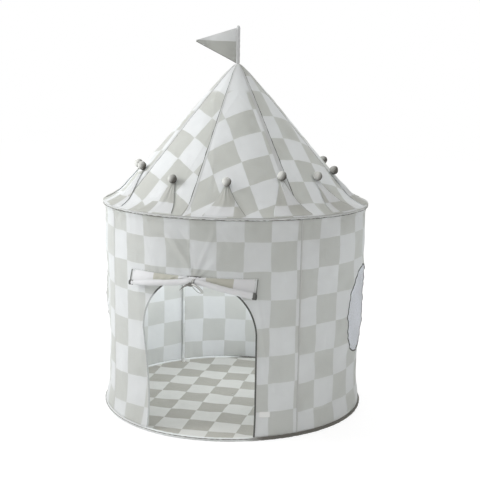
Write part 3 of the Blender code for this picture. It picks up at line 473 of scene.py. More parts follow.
floor_reach = BASE_RADIUS - HEM_HALF * 0.9
floor_share = np.linspace(FLOOR_START_SHARE, 1, FLOOR_RINGS)[:, None]
floor_turn = np.linspace(0, 360, FLOOR_SPOKES, endpoint=False)[None, :]
floor_flat = place_points(floor_turn, floor_share * floor_reach, 0 * floor_turn)
floor_x = floor_flat[..., 0]
floor_y = floor_flat[..., 1]
from_edge = floor_reach * (1 - floor_share)
wrinkle = np.clip(swell(floor_x, floor_y, FLOOR_WRINKLE_SIZE, 3) + FLOOR_WRINKLE_SLACK, 0, 2)
wrinkle = wrinkle + FLOOR_FINE_SHARE * np.clip(swell(floor_x, floor_y, FLOOR_FINE_SIZE, 4), 0, 2)
floor_flat[..., 2] = FLOOR_LIFT + FLOOR_WRINKLE * wrinkle * unit(from_edge / FLOOR_FLAT_EDGE)
floor_flat[..., 2] += FLOOR_EDGE_RISE * unit(1 - from_edge / FLOOR_EDGE_WIDTH) ** 2
print_turn = math.radians(FLOOR_PRINT_TURN)
away_x = floor_x - FLOOR_PRINT_AT[0]
away_y = floor_y - FLOOR_PRINT_AT[1]
floor_u = (away_x * math.cos(print_turn) + away_y * math.sin(print_turn)) / FLOOR_SQUARE + 0.5
floor_v = (away_x * math.sin(print_turn) - away_y * math.cos(print_turn)) / FLOOR_SQUARE + 1.5
floor_print = pairs(floor_u, floor_v) * SQUARE
floor_mesh = cloth_mesh("floor_cloth", floor_flat, floor_print, ring="flat")
floor_cloth = cloth_material("floor_print", FLOOR_LIGHT, FLOOR_DARK, through=0)
floor_piece = thicken(show("floor_cloth", floor_mesh, floor_cloth, tent, "floor_cloth", "floor_sheet"))

# Base hem and eave hem: a strip of the wall's cloth folded into a tunnel for a flat steel hoop.
# Each is sewn shut from inside with two rows of stitches, so the strip puckers all the way round.
EAVE_RADIUS = 0.5080
EAVE_HEIGHT = 0.789
HEM_SPOKES = 1100
HOOP_THICK = 0.0008
HOOP_TALL = 0.010
EAVE_HOOP_TALL = 0.0060
STEEL_COLOUR = (0.46, 0.47, 0.48)
HEM_SIDES = 14
HEM_PLUMP = 0.0070
EAVE_PLUMP = 0.0041
# Where the two thin dark rings of painted shadow lie on the hems' outer faces, and how plump they are.
EAVE_SHADOW_LINE_AT = (0.5104, 0.7840)
BASE_SHADOW_LINE_AT = (0.5035, 0.0095)
HEM_SHADOW_LINE_PLUMP = 0.0016
HEM_LIGHT = (0.58, 0.59, 0.59)
# HEM_DARK is a painted shade colour: on the base hem's unlit side and on the two dark shadow rings by the
# hems.
HEM_DARK = (0.15, 0.145, 0.13)
EAVE_SHADE = 0.22
HEM_PUCKER = 0.0007
HEM_CREASE_LENGTH = 0.022
# Between these azimuths the base hem's strip is painted dark: painted shade on the side away from the key
# lamp.
BASE_DARK_FROM = 22
BASE_DARK_TO = 200
BASE_DARK_SOFT = 8
STITCH_SPACING = 0.0036
STITCH_LENGTH = 0.0026
STITCH_THICKNESS = 0.00045
STITCH_ROWS = (-0.5, 0.5)
STITCH_OUT_SHARE = 0.86
PLAIN_RELIEF = 0.0006
PLAIN_BLOTCH = 0.12
GLOSS_MARKS = 0.12


def plain_cloth(name, light, dark, through=TRANSLUCENT_SHARE, rough=0.8):
    """Cloth of one dye, which shades from light to dark where the piece's print share says."""
    material, wire, output = new_material(name)
    place = wire.node("ShaderNodeTexCoord", {}, {}, out=3)
    shared = wire.node("ShaderNodeAttribute", {"attribute_name": "print_share"}, {}, out=2)
    share = shared + (noise(place, 40.0, 6.0) - 0.5) * PLAIN_BLOTCH
    colour = share.blend((*light, 1), (*dark, 1))
    height = noise(place, 900.0, 2.0) + noise(place, 120.0, 4.0) * 2.0
    bump = wire.node("ShaderNodeBump", {}, {"Strength": 0.3, "Distance": PLAIN_RELIEF, "Height": height})
    values = {"Base Color": colour, "Roughness": rough, "Normal": bump, "Specular IOR Level": CLOTH_GLOSS}
    surface = wire.node("ShaderNodeBsdfPrincipled", {}, values)
    surface = lit_through(wire, surface, light, dark, through)
    wire.tree.links.new(surface.socket, output.inputs["Surface"])
    return material


def hard_material(name, colour, rough, metallic=0.0, streaks=(1.0, 1.0, 1.0)):
    """A hard material with fine marks in its gloss, drawn out along the piece."""
    material, wire, output = new_material(name)
    place = wire.node("ShaderNodeTexCoord", {}, {}, out=3)
    drawn = wire.node("ShaderNodeMapping", {}, {"Vector": place, "Scale": streaks})
    darker = tuple(part * 0.9 for part in colour)
    painted = noise(place, 18.0, 3.0).blend((*colour, 1), (*darker, 1))
    marked = rough + (noise(drawn, 300.0, 5.0) - 0.5) * GLOSS_MARKS
    values = {"Base Color": painted, "Metallic": metallic, "Roughness": marked}
    surface = wire.node("ShaderNodeBsdfPrincipled", {}, values)
    wire.tree.links.new(surface.socket, output.inputs["Surface"])
    return material


def stitch_group():
    """Node group that lays a stitch at even steps along every line of a mesh."""
    group = bpy.data.node_groups.new("stitch_row", "GeometryNodeTree")
    face = group.interface
    face.new_socket("Lines", in_out="INPUT", socket_type="NodeSocketGeometry")
    for name in ("Spacing", "Length", "Thickness"):
        face.new_socket(name, in_out="INPUT", socket_type="NodeSocketFloat")
    face.new_socket("Thread", in_out="INPUT", socket_type="NodeSocketMaterial")
    face.new_socket("Stitches", in_out="OUTPUT", socket_type="NodeSocketGeometry")
    nodes = group.nodes
    link = group.links.new
    start = nodes.new("NodeGroupInput")
    end = nodes.new("NodeGroupOutput")
    curve = nodes.new("GeometryNodeMeshToCurve")
    steps = nodes.new("GeometryNodeResampleCurve")
    steps.mode = "LENGTH"
    tangent = nodes.new("GeometryNodeInputTangent")
    aim = nodes.new("FunctionNodeAlignRotationToVector")
    aim.axis = "Z"
    bead = nodes.new("GeometryNodeMeshUVSphere")
    bead.inputs["Segments"].default_value = 5
    bead.inputs["Rings"].default_value = 3
    bead.inputs["Radius"].default_value = 0.5
    size = nodes.new("ShaderNodeCombineXYZ")
    scatter = nodes.new("GeometryNodeInstanceOnPoints")
    real = nodes.new("GeometryNodeRealizeInstances")
    paint = nodes.new("GeometryNodeSetMaterial")
    link(start.outputs["Lines"], curve.inputs["Mesh"])
    link(curve.outputs["Curve"], steps.inputs["Curve"])
    link(start.outputs["Spacing"], steps.inputs["Length"])
    link(tangent.outputs["Tangent"], aim.inputs["Vector"])
    link(start.outputs["Thickness"], size.inputs["X"])
    link(start.outputs["Thickness"], size.inputs["Y"])
    link(start.outputs["Length"], size.inputs["Z"])
    link(steps.outputs["Curve"], scatter.inputs["Points"])
    link(bead.outputs["Mesh"], scatter.inputs["Instance"])
    link(aim.outputs["Rotation"], scatter.inputs["Rotation"])
    link(size.outputs["Vector"], scatter.inputs["Scale"])
    link(scatter.outputs["Instances"], real.inputs["Geometry"])
    link(real.outputs["Geometry"], paint.inputs["Geometry"])
    link(start.outputs["Thread"], paint.inputs["Material"])
    link(paint.outputs["Geometry"], end.inputs["Stitches"])
    return group


stitch_rows = stitch_group()
thread_light = plain_cloth("thread_light", (0.72, 0.72, 0.70), (0.4, 0.4, 0.38), through=0)
thread_dark = plain_cloth("thread_dark", (0.13, 0.125, 0.11), (0.1, 0.1, 0.09), through=0)


def sew(name, lines, thread, body, slot, *stands_for):
    """Rows of stitches along lines of points. A line is closed if its end is its start."""
    points = []
    edges = []
    for line in lines:
        first = len(points)
        points += [tuple(point) for point in line]
        edges += [(k, k + 1) for k in range(first, len(points) - 1)]
    guide = bpy.data.meshes.new(name + "_guide")
    guide.from_pydata(points, edges, [])
    holder = bpy.data.objects.new(name + "_guide", guide)
    bpy.context.collection.objects.link(holder)
    maker = holder.modifiers.new("stitches", "NODES")
    maker.node_group = stitch_rows
    chosen = {"Spacing": STITCH_SPACING, "Length": STITCH_LENGTH, "Thickness": STITCH_THICKNESS}
    chosen["Thread"] = thread
    for item in stitch_rows.interface.items_tree:
        if item.in_out == "INPUT" and item.name in chosen:
            maker[item.identifier] = chosen[item.name]
    bpy.context.view_layer.update()
    evaluated = holder.evaluated_get(bpy.context.evaluated_depsgraph_get())
    mesh = bpy.data.meshes.new_from_object(evaluated)
    mesh.name = name
    bpy.data.objects.remove(holder)
    return show(name, mesh, thread, body, slot, *stands_for)


def make_hem(name, radius, height, plump, shares, seed, *stands_for):
    """A closed tunnel of cloth round the tent, creased by the hoop and the stitches in it."""
    azimuth = np.linspace(-180, 180, HEM_SPOKES, endpoint=False)[None, :]
    turn = np.linspace(0, 2 * math.pi, HEM_SIDES, endpoint=False)[:, None]
    along = np.radians(azimuth) * radius
    pucker = swell(along, np.cos(turn) * 0.02, HEM_CREASE_LENGTH, seed, waves=9)
    away = plump - HEM_PUCKER + HEM_PUCKER * pucker
    out = away * np.cos(turn)
    up = np.clip(away * np.sin(turn), -HEM_HALF, HEM_HALF)
    points = place_points(azimuth, radius + out, height + up)
    points = np.concatenate([points, points[:1]], axis=0)
    prints = pairs(along, np.append(turn, 2 * math.pi)[:, None] * away.mean())
    share = np.broadcast_to(shares(azimuth), points.shape[:2])
    mesh = cloth_mesh(name, points, prints, ring=True, share=share)
    piece = show(name, mesh, hem_cloth, tent, "hem_cloth", *stands_for)
    weld = piece.modifiers.new("seam", "WELD")
    weld.merge_threshold = CLOTH / 10
    return piece


def base_shade(azimuth):
    """How dark the base hem's strip is painted: painted shade from the right jamb round the back, on its
    unlit side.
    """
    start = unit((azimuth - BASE_DARK_FROM) / BASE_DARK_SOFT)
    wrapped = np.where(azimuth < -90, azimuth + 360, azimuth)
    end = unit((BASE_DARK_TO - wrapped) / BASE_DARK_SOFT)
    return np.where(azimuth < -90, end, start)


def eave_shade(azimuth):
    """The eave hem's strip is a little darker than the base's, all the way round."""
    return EAVE_SHADE + 0 * azimuth


hem_cloth = plain_cloth("hem_strip", HEM_LIGHT, HEM_DARK, through=0)
base_hem = make_hem("base_hem_strip", BASE_RADIUS, HEM_HALF, HEM_PLUMP, base_shade, 11, "base_hem")
eave_hem = make_hem("eave_hem_strip", EAVE_RADIUS, EAVE_HEIGHT, EAVE_PLUMP, eave_shade, 12, "eave_hem")
# Two thin dark rings on the outer faces of the eave hem and the base hem: painted shadow lines.
make_hem("eave_piping", *EAVE_SHADOW_LINE_AT, HEM_SHADOW_LINE_PLUMP, np.ones_like, 13)
make_hem("base_piping", *BASE_SHADOW_LINE_AT, HEM_SHADOW_LINE_PLUMP, np.ones_like, 14)
hoop_finish = hard_material("spring_steel", STEEL_COLOUR, 0.35, metallic=1.0)
hoop_turn = np.linspace(-180, 180, HEM_SPOKES, endpoint=False)[None, :]
hoop_out = HOOP_THICK / 2 * np.array([-1, 1, 1, -1, -1])[:, None]
stitch_turn = np.linspace(-180, 180, HEM_SPOKES)
hem_lines = []
hoops = ("base_hoop", BASE_RADIUS, HEM_HALF, HOOP_TALL, HEM_PLUMP)
hoops = hoops, ("eave_hoop", EAVE_RADIUS, EAVE_HEIGHT, EAVE_HOOP_TALL, EAVE_PLUMP)
for name, radius, height, tall, plump in hoops:
    hoop_up = tall / 2 * np.array([-1, -1, 1, 1, -1])[:, None]
    hoop_points = place_points(hoop_turn, radius + hoop_out, height + hoop_up)
    hoop_mesh = cloth_mesh(name + "_strip", hoop_points, hoop_points[..., :2], ring=True)
    hoop_piece = show(name + "_strip", hoop_mesh, hoop_finish, tent, "spring_steel", name)
    hoop_piece.data.shade_flat()
    for row in STITCH_ROWS:
        hem_lines.append(place_points(stitch_turn, radius + plump * STITCH_OUT_SHARE, height + row * plump))
sew("hem_stitches", hem_lines, thread_light, tent, "hem_cloth")

# Wall cloths: four panels of printed cloth hung between the hoops, hollow between the poles.
# The front one has the doorway cut in it and the side ones an oval window each.
CLOTH_LIGHT = (0.785, 0.785, 0.785)
CLOTH_DARK = (0.610, 0.607, 0.572)
WALL_BOTTOM = 0.0133
WALL_TOP = 0.7822
WALL_TOP_RADIUS = 0.4995
WAIST_DEPTH = 0.034
WAIST_SKEW = 0.6
LOW_HOLLOW = 0.0105
LOW_HOLLOW_HEIGHT = 0.17
LOW_HOLLOW_REACH = 0.14
SILL_HOLLOW = 0.0080
SILL_HOLLOW_HEIGHT = 0.42
SILL_HOLLOW_REACH = 0.17
WINDOW_PROUD = 0.0045
WINDOW_HOLD = 0.035
WINDOW_HOLD_FROM = 0.25
WINDOW_HOLD_SOFT = 0.12
POLE_HELD_SHARE = 0.6
SHOULDER_SWELL = 0.0055
SHOULDER_HEIGHT = 0.64
SHOULDER_REACH = 0.10
NET_DIP = 0.010
EAVE_LIP = 0.0068
EAVE_LIP_HEIGHT = 0.03
SEAM_AZIMUTH = 45
PANEL_SPAN = 90
PRINT_STEPS = {0: (-0.9, 11.0), 90: (-5.9, 12.0), -90: (0.0, 11.25), 180: (0.0, 11.25)}
PRINT_ROW = 0.1035
PRINT_ROW_START = -0.016
PRINT_LEAN = 0.062
PRINT_LEAN_TOP = 0.62
WALL_COLUMNS = 216
WALL_ROWS = 170
BROAD_WAVE = 0.0022
BROAD_SIZE = 0.30
FINE_SIZE = 0.09
FINE_SHARE = 0.35
HEM_GATHER = 0.0013
TOP_GATHER = (0.05, 0.030, 23)
FOOT_GATHER = (0.045, 0.038, 24)
SEAM_RIPPLE = 0.0007
SEAM_RIPPLE_REACH = 0.028
SEAM_RIPPLE_SIZE = 0.034
HELD_EDGE = 0.006
CREASES = 46
CREASE_HEIGHT = 0.0009
CREASE_WIDTH = 0.0035
CREASE_PLACES = (-1.6, 1.6)
CREASE_HEIGHTS = (0.08, 0.74)
CREASE_REACHES = (0.05, 0.16)
CREASE_TILT = 0.35
CREASE_BOW = 0.12
FOLD_FADE = 0.03
WINDOW_RIPPLE = 0.0012
WINDOW_RIPPLE_REACH = 0.03
KNOT_AZIMUTH = 1.0
KNOT_FOLD = 0.0024
KNOT_FOLD_REACH = 0.075
KNOT_FOLD_START = 0.02
KNOT_FOLD_DROP = 0.03
KNOT_GATHER = 0.0012
KNOT_GATHER_REACH = 0.02
KNOT_GATHER_SIZE = 0.035
KNOT_GATHER_HALF = 0.26
# Each large fold starts and ends at a place across and up the panel, and has a height and a width.
FRONT_FOLDS = (
    (-0.012, 0.770, -0.012, 0.600, 0.0016, 0.0035),
    (-0.110, 0.750, -0.020, 0.635, 0.0034, 0.0130),
    (-0.075, 0.770, -0.006, 0.690, -0.0024, 0.0100),
    (0.016, 0.600, 0.075, 0.730, 0.0022, 0.0080),
    (0.090, 0.770, 0.140, 0.700, 0.0020, 0.0090),
    (0.235, 0.490, 0.277, 0.250, 0.0034, 0.0100),
    (0.262, 0.470, 0.300, 0.200, -0.0026, 0.0120),
    (-0.236, 0.540, -0.225, 0.250, 0.0012, 0.0140),
)
FLAP_TOP = 0.589
DOOR_MIDDLE = 0.009
DOOR_HALF = 0.208
DOOR_LEAN = 0.038
DOOR_LEAN_POWER = 0.85
DOOR_SPRING = 0.368
WINDOW_HALF_WIDTH = 0.14
WINDOW_HALF_HEIGHT = 0.164
WINDOW_HEIGHT = 0.404


def side_hollow(azimuth, z, rise, slack):
    """How far a side panel is drawn in: under its window, at the sill, and where the net dips."""
    hollow = LOW_HOLLOW * bell(z - LOW_HOLLOW_HEIGHT, LOW_HOLLOW_REACH, 4) * np.minimum(1, rise * 12)
    hollow = hollow + SILL_HOLLOW * bell(z - SILL_HOLLOW_HEIGHT, SILL_HOLLOW_REACH, 4)
    oval = window_oval(azimuth, z)[1]
    held_flat = bell(np.abs(oval - 1) * WINDOW_HALF_WIDTH, WINDOW_HOLD)
    lifted = unit((z - WINDOW_HOLD_FROM) / WINDOW_HOLD_SOFT)
    by_pole = 1 - np.minimum(1, slack / POLE_HELD_SHARE)
    hollow = hollow * (1 - held_flat * lifted) * (1 - by_pole ** 2)
    hollow = hollow - SHOULDER_SWELL * slack ** 2 * bell(z - SHOULDER_HEIGHT, SHOULDER_REACH)
    return hollow + NET_DIP * unit(1 - oval ** 2) - WINDOW_PROUD * held_flat


def wall_radius(azimuth, z):
    """Distance of the wall's cloth from the axis: hollow between poles, with folds and puckers."""
    azimuth, z = np.broadcast_arrays(np.asarray(azimuth, float), np.asarray(z, float))
    between = np.mod(azimuth - SEAM_AZIMUTH, PANEL_SPAN) / PANEL_SPAN
    rise = unit((z - WALL_BOTTOM) / (WALL_TOP - WALL_BOTTOM))
    slack = np.sin(math.pi * between)
    waist = WAIST_DEPTH * np.sin(math.pi * rise ** WAIST_SKEW) * slack ** 2
    at_side = np.floor((azimuth - SEAM_AZIMUTH) / PANEL_SPAN) % 2 == 0
    hollow = np.where(at_side, side_hollow(azimuth, z, rise, slack), waist)
    lip = EAVE_LIP * unit(1 - (WALL_TOP - z) / EAVE_LIP_HEIGHT) ** 2
    radius = BASE_RADIUS + (WALL_TOP_RADIUS - BASE_RADIUS) * rise - hollow + lip
    across = np.radians(azimuth) * BASE_RADIUS
    held = np.minimum(1, slack * 4) * np.minimum(1, np.minimum(rise, 1 - rise) * 12)
    radius = radius + BROAD_WAVE * held * swell(across, z * 0.7, BROAD_SIZE, 21)
    radius = radius + BROAD_WAVE * FINE_SHARE * held * swell(across, z, FINE_SIZE, 22)
    gather = 0
    for away, (reach, size, seed) in ((WALL_TOP - z, TOP_GATHER), (z - WALL_BOTTOM, FOOT_GATHER)):
        ripple = np.exp(-away / reach) * swell(across, z * 0.3, size, seed)
        gather = gather + ripple * np.minimum(1, away / HELD_EDGE)
    radius = radius + HEM_GATHER * gather * np.minimum(1, slack * 6)
    from_seam = np.minimum(between, 1 - between) * np.radians(PANEL_SPAN) * BASE_RADIUS
    ripple = np.exp(-from_seam / SEAM_RIPPLE_REACH) * swell(across * 0.4, z, SEAM_RIPPLE_SIZE, 25)
    radius = radius + SEAM_RIPPLE * ripple * np.minimum(1, from_seam / HELD_EDGE)
    radius = radius + held * creases(across, z) + window_ripples(azimuth, z)
    return radius + knot_folds(azimuth, z) + held * front_folds(across, z)


def creases(across, z):
    """Sharp low ridges where the cloth was folded in its bag, each fading out along its length."""
    draw = np.random.default_rng(31)
    total = np.zeros(np.broadcast(across, z).shape)
    for _ in range(CREASES):
        middle_x = draw.uniform(*CREASE_PLACES)
        middle_z = draw.uniform(*CREASE_HEIGHTS)
        turn = draw.choice([0.0, math.pi / 2]) + draw.normal(0, CREASE_TILT)
        reach = draw.uniform(*CREASE_REACHES)
        along = (across - middle_x) * math.cos(turn) + (z - middle_z) * math.sin(turn)
        aside = (z - middle_z) * math.cos(turn) - (across - middle_x) * math.sin(turn)
        aside = aside + CREASE_BOW * along ** 2
        ridge = np.exp(-np.abs(aside) / CREASE_WIDTH) * bell(along, reach, 4)
        total = total + draw.choice([-1, 1]) * draw.uniform(0.4, 1) * CREASE_HEIGHT * ridge
    return total


def front_folds(across, z):
    """The front panel's large folds, each drawn from one place to another with its height and width."""
    total = np.zeros(np.broadcast(across, z).shape)
    for start_x, start_z, end_x, end_z, tall, wide in FRONT_FOLDS:
        reach = math.hypot(end_x - start_x, end_z - start_z)
        right, up = (end_x - start_x) / reach, (end_z - start_z) / reach
        along = ((across - start_x) * right + (z - start_z) * up) / reach
        aside = (z - start_z) * right - (across - start_x) * up
        fade = np.exp(-np.clip(np.abs(along - 0.5) - 0.5, 0, None) ** 2 / FOLD_FADE)
        total = total + tall * bell(aside, wide) * fade
    return total


def window_oval(azimuth, z):
    """Sideways distance from the nearest window's middle, and the share of the way to its edge."""
    turn = np.radians(azimuth - 90 * np.sign(np.sin(np.radians(azimuth))))
    turn = np.arctan2(np.sin(turn), np.cos(turn))
    side = np.where(np.abs(turn) < 1, BASE_RADIUS * np.sin(turn), 9)
    return side, np.hypot(side / WINDOW_HALF_WIDTH, (z - WINDOW_HEIGHT) / WINDOW_HALF_HEIGHT)


def window_ripples(azimuth, z):
    """Small folds that run out from a window's binding like rays."""
    side, oval = window_oval(azimuth, z)
    angle = np.arctan2(z - WINDOW_HEIGHT, side)
    away = np.abs(oval - 1) * WINDOW_HALF_WIDTH
    rays = np.sin(11 * angle + 1.3) + 0.7 * np.sin(19 * angle + 0.4) + 0.5 * np.sin(31 * angle)
    return WINDOW_RIPPLE * rays * np.exp(-away / WINDOW_RIPPLE_REACH) * np.minimum(1, oval)


def knot_folds(azimuth, z):
    """Folds that fan out over the doorway from the place where the rolled flap is tied up."""
    side = np.radians(azimuth - KNOT_AZIMUTH) * BASE_RADIUS
    up = z - FLAP_TOP
    away = np.hypot(side, up)
    angle = np.arctan2(side, up + KNOT_FOLD_START)
    fan = np.sin(8.5 * angle + 0.6) + 0.6 * np.sin(14 * angle + 2.1)
    fade = np.exp(-away / KNOT_FOLD_REACH) * unit(away / KNOT_FOLD_START)
    fade = fade * unit((up + KNOT_FOLD_DROP) / KNOT_FOLD_DROP)
    near_line = np.exp(-np.abs(up) / KNOT_GATHER_REACH) * swell(side, up * 0, KNOT_GATHER_SIZE, 26)
    near_line = near_line * bell(side, KNOT_GATHER_HALF, 8)
    return KNOT_FOLD * fan * fade + KNOT_GATHER * near_line


def left_jamb(z):
    """Where the doorway's left edge lies: it leans in towards its foot."""
    low = unit(1 - z / DOOR_SPRING)
    return DOOR_MIDDLE - DOOR_HALF + DOOR_LEAN * low ** DOOR_LEAN_POWER


def door_outline(grow, steps=60):
    """The doorway's edge as (side, height) pairs, from the left foot over the arch to the right."""
    z = WALL_BOTTOM + (DOOR_SPRING - WALL_BOTTOM) * np.linspace(0, 1, steps, endpoint=False)
    left = pairs(left_jamb(z) - grow, z)
    right = pairs(DOOR_MIDDLE + DOOR_HALF + grow, z)[::-1]
    turn = math.pi * np.linspace(1, 0, steps + 1)
    half = DOOR_HALF + grow
    arch = pairs(DOOR_MIDDLE + half * np.cos(turn), DOOR_SPRING + half * np.sin(turn))
    return np.concatenate([left, arch, right])


def window_outline(grow, steps=160):
    """A window's oval edge as (side, height) pairs."""
    turn = np.linspace(0, 2 * math.pi, steps, endpoint=False)
    high = WINDOW_HEIGHT + (WINDOW_HALF_HEIGHT + grow) * np.sin(turn)
    return pairs((WINDOW_HALF_WIDTH + grow) * np.cos(turn), high)


def in_door(side, z):
    """Whether places lie in the doorway."""
    arch = np.hypot(side - DOOR_MIDDLE, z - DOOR_SPRING) < DOOR_HALF
    low = (side > left_jamb(z)) & (side < DOOR_MIDDLE + DOOR_HALF)
    return np.where(z < DOOR_SPRING, low, arch)


def in_window(side, z):
    """Whether places lie in a window."""
    return np.hypot(side / WINDOW_HALF_WIDTH, (z - WINDOW_HEIGHT) / WINDOW_HALF_HEIGHT) < 1


def wall_azimuth(facing, side, z):
    """The azimuth at which the wall lies sideways of the line that faces an azimuth."""
    azimuth = np.full(np.broadcast(side, z).shape, float(facing))
    for _ in range(8):
        azimuth = facing + np.degrees(np.arcsin(np.clip(side / wall_radius(azimuth, z), -0.99, 0.99)))
    return azimuth


def wall_place(facing, outline, depth=0.0):
    """Points on the wall along an outline of (side, height) pairs, lifted off it by depth."""
    side, z = outline[..., 0], outline[..., 1]
    azimuth = wall_azimuth(facing, side, z)
    return place_points(azimuth, wall_radius(azimuth, z) + depth, z)


def wall_panel(name, facing, inside=None, outline=None):
    """One wall panel, its opening cut to a clean edge."""
    azimuth = facing + np.linspace(-SEAM_AZIMUTH, SEAM_AZIMUTH, WALL_COLUMNS)[None, :]
    z = np.linspace(WALL_BOTTOM, WALL_TOP, WALL_ROWS)[:, None]
    azimuth, z = (grid.copy() for grid in np.broadcast_arrays(azimuth, z))
    keep = None
    if inside:
        side = wall_radius(azimuth, z) * np.sin(np.radians(azimuth - facing))
        cut = inside(side, z)
        edge_azimuth = wall_azimuth(facing, outline[:, 0], outline[:, 1])
        edge_z = outline[:, 1]
        near = cut & ~(np.roll(cut, 2, 0) & np.roll(cut, -2, 0) & np.roll(cut, 2, 1) & np.roll(cut, -2, 1))
        for row, column in zip(*np.nonzero(near)):
            off_x = np.radians(edge_azimuth - azimuth[row, column]) * BASE_RADIUS
            best = np.argmin(np.hypot(off_x, edge_z - z[row, column]))
            azimuth[row, column] = edge_azimuth[best]
            z[row, column] = edge_z[best]
        keep = ~(cut[:-1, :-1] & cut[1:, :-1] & cut[:-1, 1:] & cut[1:, 1:])
    points = place_points(azimuth, wall_radius(azimuth, z), z)
    start, step = PRINT_STEPS[facing]
    lean = 0 * z if facing else PRINT_LEAN * points[..., 0] * unit(1 - z / PRINT_LEAN_TOP)
    prints = pairs((azimuth - start) / step, (z - lean - PRINT_ROW_START) / PRINT_ROW) * SQUARE
    mesh = cloth_mesh(name, points, prints, keep)
    area = sum(polygon.area for polygon in mesh.polygons)
    piece = thicken(show(name, mesh, wall_print, tent, "wall_cloth", name.replace("cloth", "panel")))
    size = (math.radians(PANEL_SPAN) * BASE_RADIUS, WALL_TOP - WALL_BOTTOM)
    area = min(area, size[0] * size[1])
    return piece


wall_print = cloth_material("wall_print", CLOTH_LIGHT, CLOTH_DARK)
wall_front = wall_panel("wall_cloth_front", 0, in_door, door_outline(0, 200))
wall_panel("wall_cloth_right", 90, in_window, window_outline(0, 700))
wall_panel("wall_cloth_left", -90, in_window, window_outline(0, 700))
wall_panel("wall_cloth_back", 180)

# Wall seams: at each upright pole the two panels' edges are folded into a flat, double-stitched
# seam. A thin dark cord runs up beside each seam.
SEAM_HALF = 0.0024
SEAM_LIFT = 0.0007
SEAM_EDGE = 0.0005
SEAM_STEPS = 220
SEAM_SHADE = 0.6
SEAM_EDGE_SHADE = 0.4
SEAM_ROWS = (-0.6, 0.6)
CORD_SIDES = 8
CORD_UP = (0.3, 0.2, 0.93)
TAPE_LIGHT = (0.56, 0.57, 0.575)
TAPE_DARK = (0.105, 0.105, 0.10)


def strip(name, low, high, radius_at, heights, lift, share=0.0, columns=6):
    """A raised strip of cloth, from one azimuth to another at each height. Its sides are turned under."""
    across = np.linspace(0, 1, columns + 3)[None, :]
    z = heights[:, None]
    azimuth = low[:, None] + (high - low)[:, None] * unit((across * (columns + 2) - 1) / columns)
    rise = np.where((across == 0) | (across == 1), -CLOTH, lift) * np.ones_like(azimuth)
    points = place_points(azimuth, radius_at(azimuth, z) + rise, z)
    prints = pairs(np.radians(azimuth) * BASE_RADIUS, z)
    shares = np.full(points.shape[:2], float(share))
    return cloth_mesh(name, points, prints, share=shares)


def seam_line(azimuth, heights, lift):
    """A line of points up the wall at one azimuth."""
    azimuth = azimuth + 0 * heights
    return place_points(azimuth, wall_radius(azimuth, heights) + lift, heights)


def thin_cord(name, route, radius, material, share, body, slot):
    """A round cord along a route of points."""
    route = np.asarray(route)
    along = np.gradient(route, axis=0)
    along = along / np.linalg.norm(along, axis=1)[:, None]
    first = np.cross(along, CORD_UP)
    first = first / np.linalg.norm(first, axis=1)[:, None]
    second = np.cross(along, first)
    turn = np.linspace(0, 2 * math.pi, CORD_SIDES)[:, None, None]
    points = route[None] + radius * (np.cos(turn) * first[None] + np.sin(turn) * second[None])
    shares = np.full(points.shape[:2], float(share))
    return show(name, cloth_mesh(name, points, points[..., :2], share=shares), material, body, slot)


tape = plain_cloth("tape", TAPE_LIGHT, TAPE_DARK, through=0)
seam_cloth = plain_cloth("seam_strip", CLOTH_LIGHT, CLOTH_DARK)
wall_heights = np.linspace(WALL_BOTTOM, WALL_TOP, SEAM_STEPS)
wall_seam_lines = []
half = np.degrees(SEAM_HALF / BASE_RADIUS)
for facing in (45, 135, 225, 315):
    middle = np.full(SEAM_STEPS, float(facing))
    ends = middle - half, middle + half
    mesh = strip("wall_seam", *ends, wall_radius, wall_heights, SEAM_LIFT, SEAM_SHADE)
    show("wall_seam_" + str(facing), mesh, seam_cloth, tent, "wall_cloth")
    for aside in SEAM_ROWS:
        wall_seam_lines.append(seam_line(facing + aside * half, wall_heights, SEAM_LIFT))
    line = seam_line(facing - half, wall_heights, SEAM_LIFT * 0.5)
    thin_cord("wall_seam_edge_" + str(facing), line, SEAM_EDGE, tape, SEAM_EDGE_SHADE, tent, "dark_tape")
sew("wall_seam_stitches", wall_seam_lines, thread_light, tent, "wall_cloth")

# Pole sleeves: tunnels of the wall's cloth that hold the upright poles, sewn along the seams inside.
# Each is closed with one dark stitched line, which shows as a thin line through the doorway.
SLEEVE_RADIUS = 0.0053
SLEEVE_WRINKLE = 0.0003
SLEEVE_SIDES = 14
SLEEVE_STEPS = 110
SLEEVE_SEAM = 0.0004
SLEEVE_SEAM_TURN = 75
SLEEVE_SEAM_STEPS = 40
SLEEVE_SEAM_SHADE = 0.3
SLEEVE_ENDS = 0.012
SLEEVE_PRINT_AT = (0.02, 0.016)
# The sleeves' check is painted brighter than the wall's: painted light for the light that their closed tubes
# keep out.
SLEEVE_LIGHT_BRIGHTENED = (0.97, 0.97, 0.97)
SLEEVE_DARK_BRIGHTENED = (0.82, 0.82, 0.79)
CORNERS = (("front_left", -45), ("front_right", 45), ("back_left", 225), ("back_right", 135))


def sleeve(name, start, end, facing, print_start, material, slot):
    """A cloth tube round a pole, a little wrinkled."""
    share = np.linspace(0, 1, SLEEVE_STEPS)[:, None, None]
    turn = np.linspace(0, 2 * math.pi, SLEEVE_SIDES, endpoint=False)[None, :, None]
    aside = np.array(around(facing + 90, 1, 0))
    length = np.linalg.norm(end - start)
    ahead = np.cross((end - start) / length, aside)
    run = share * length
    wrinkle = SLEEVE_WRINKLE * swell(run, np.cos(turn) * 0.01, 0.03, 35)
    out = np.cos(turn) * aside + np.sin(turn) * ahead
    points = start + share * (end - start) + (SLEEVE_RADIUS + wrinkle) * out
    prints = pairs(print_start[0] + turn * SLEEVE_RADIUS, print_start[1] + run)[:, :, 0]
    show(name, cloth_mesh(name, points, prints, ring=True), material, tent, slot)


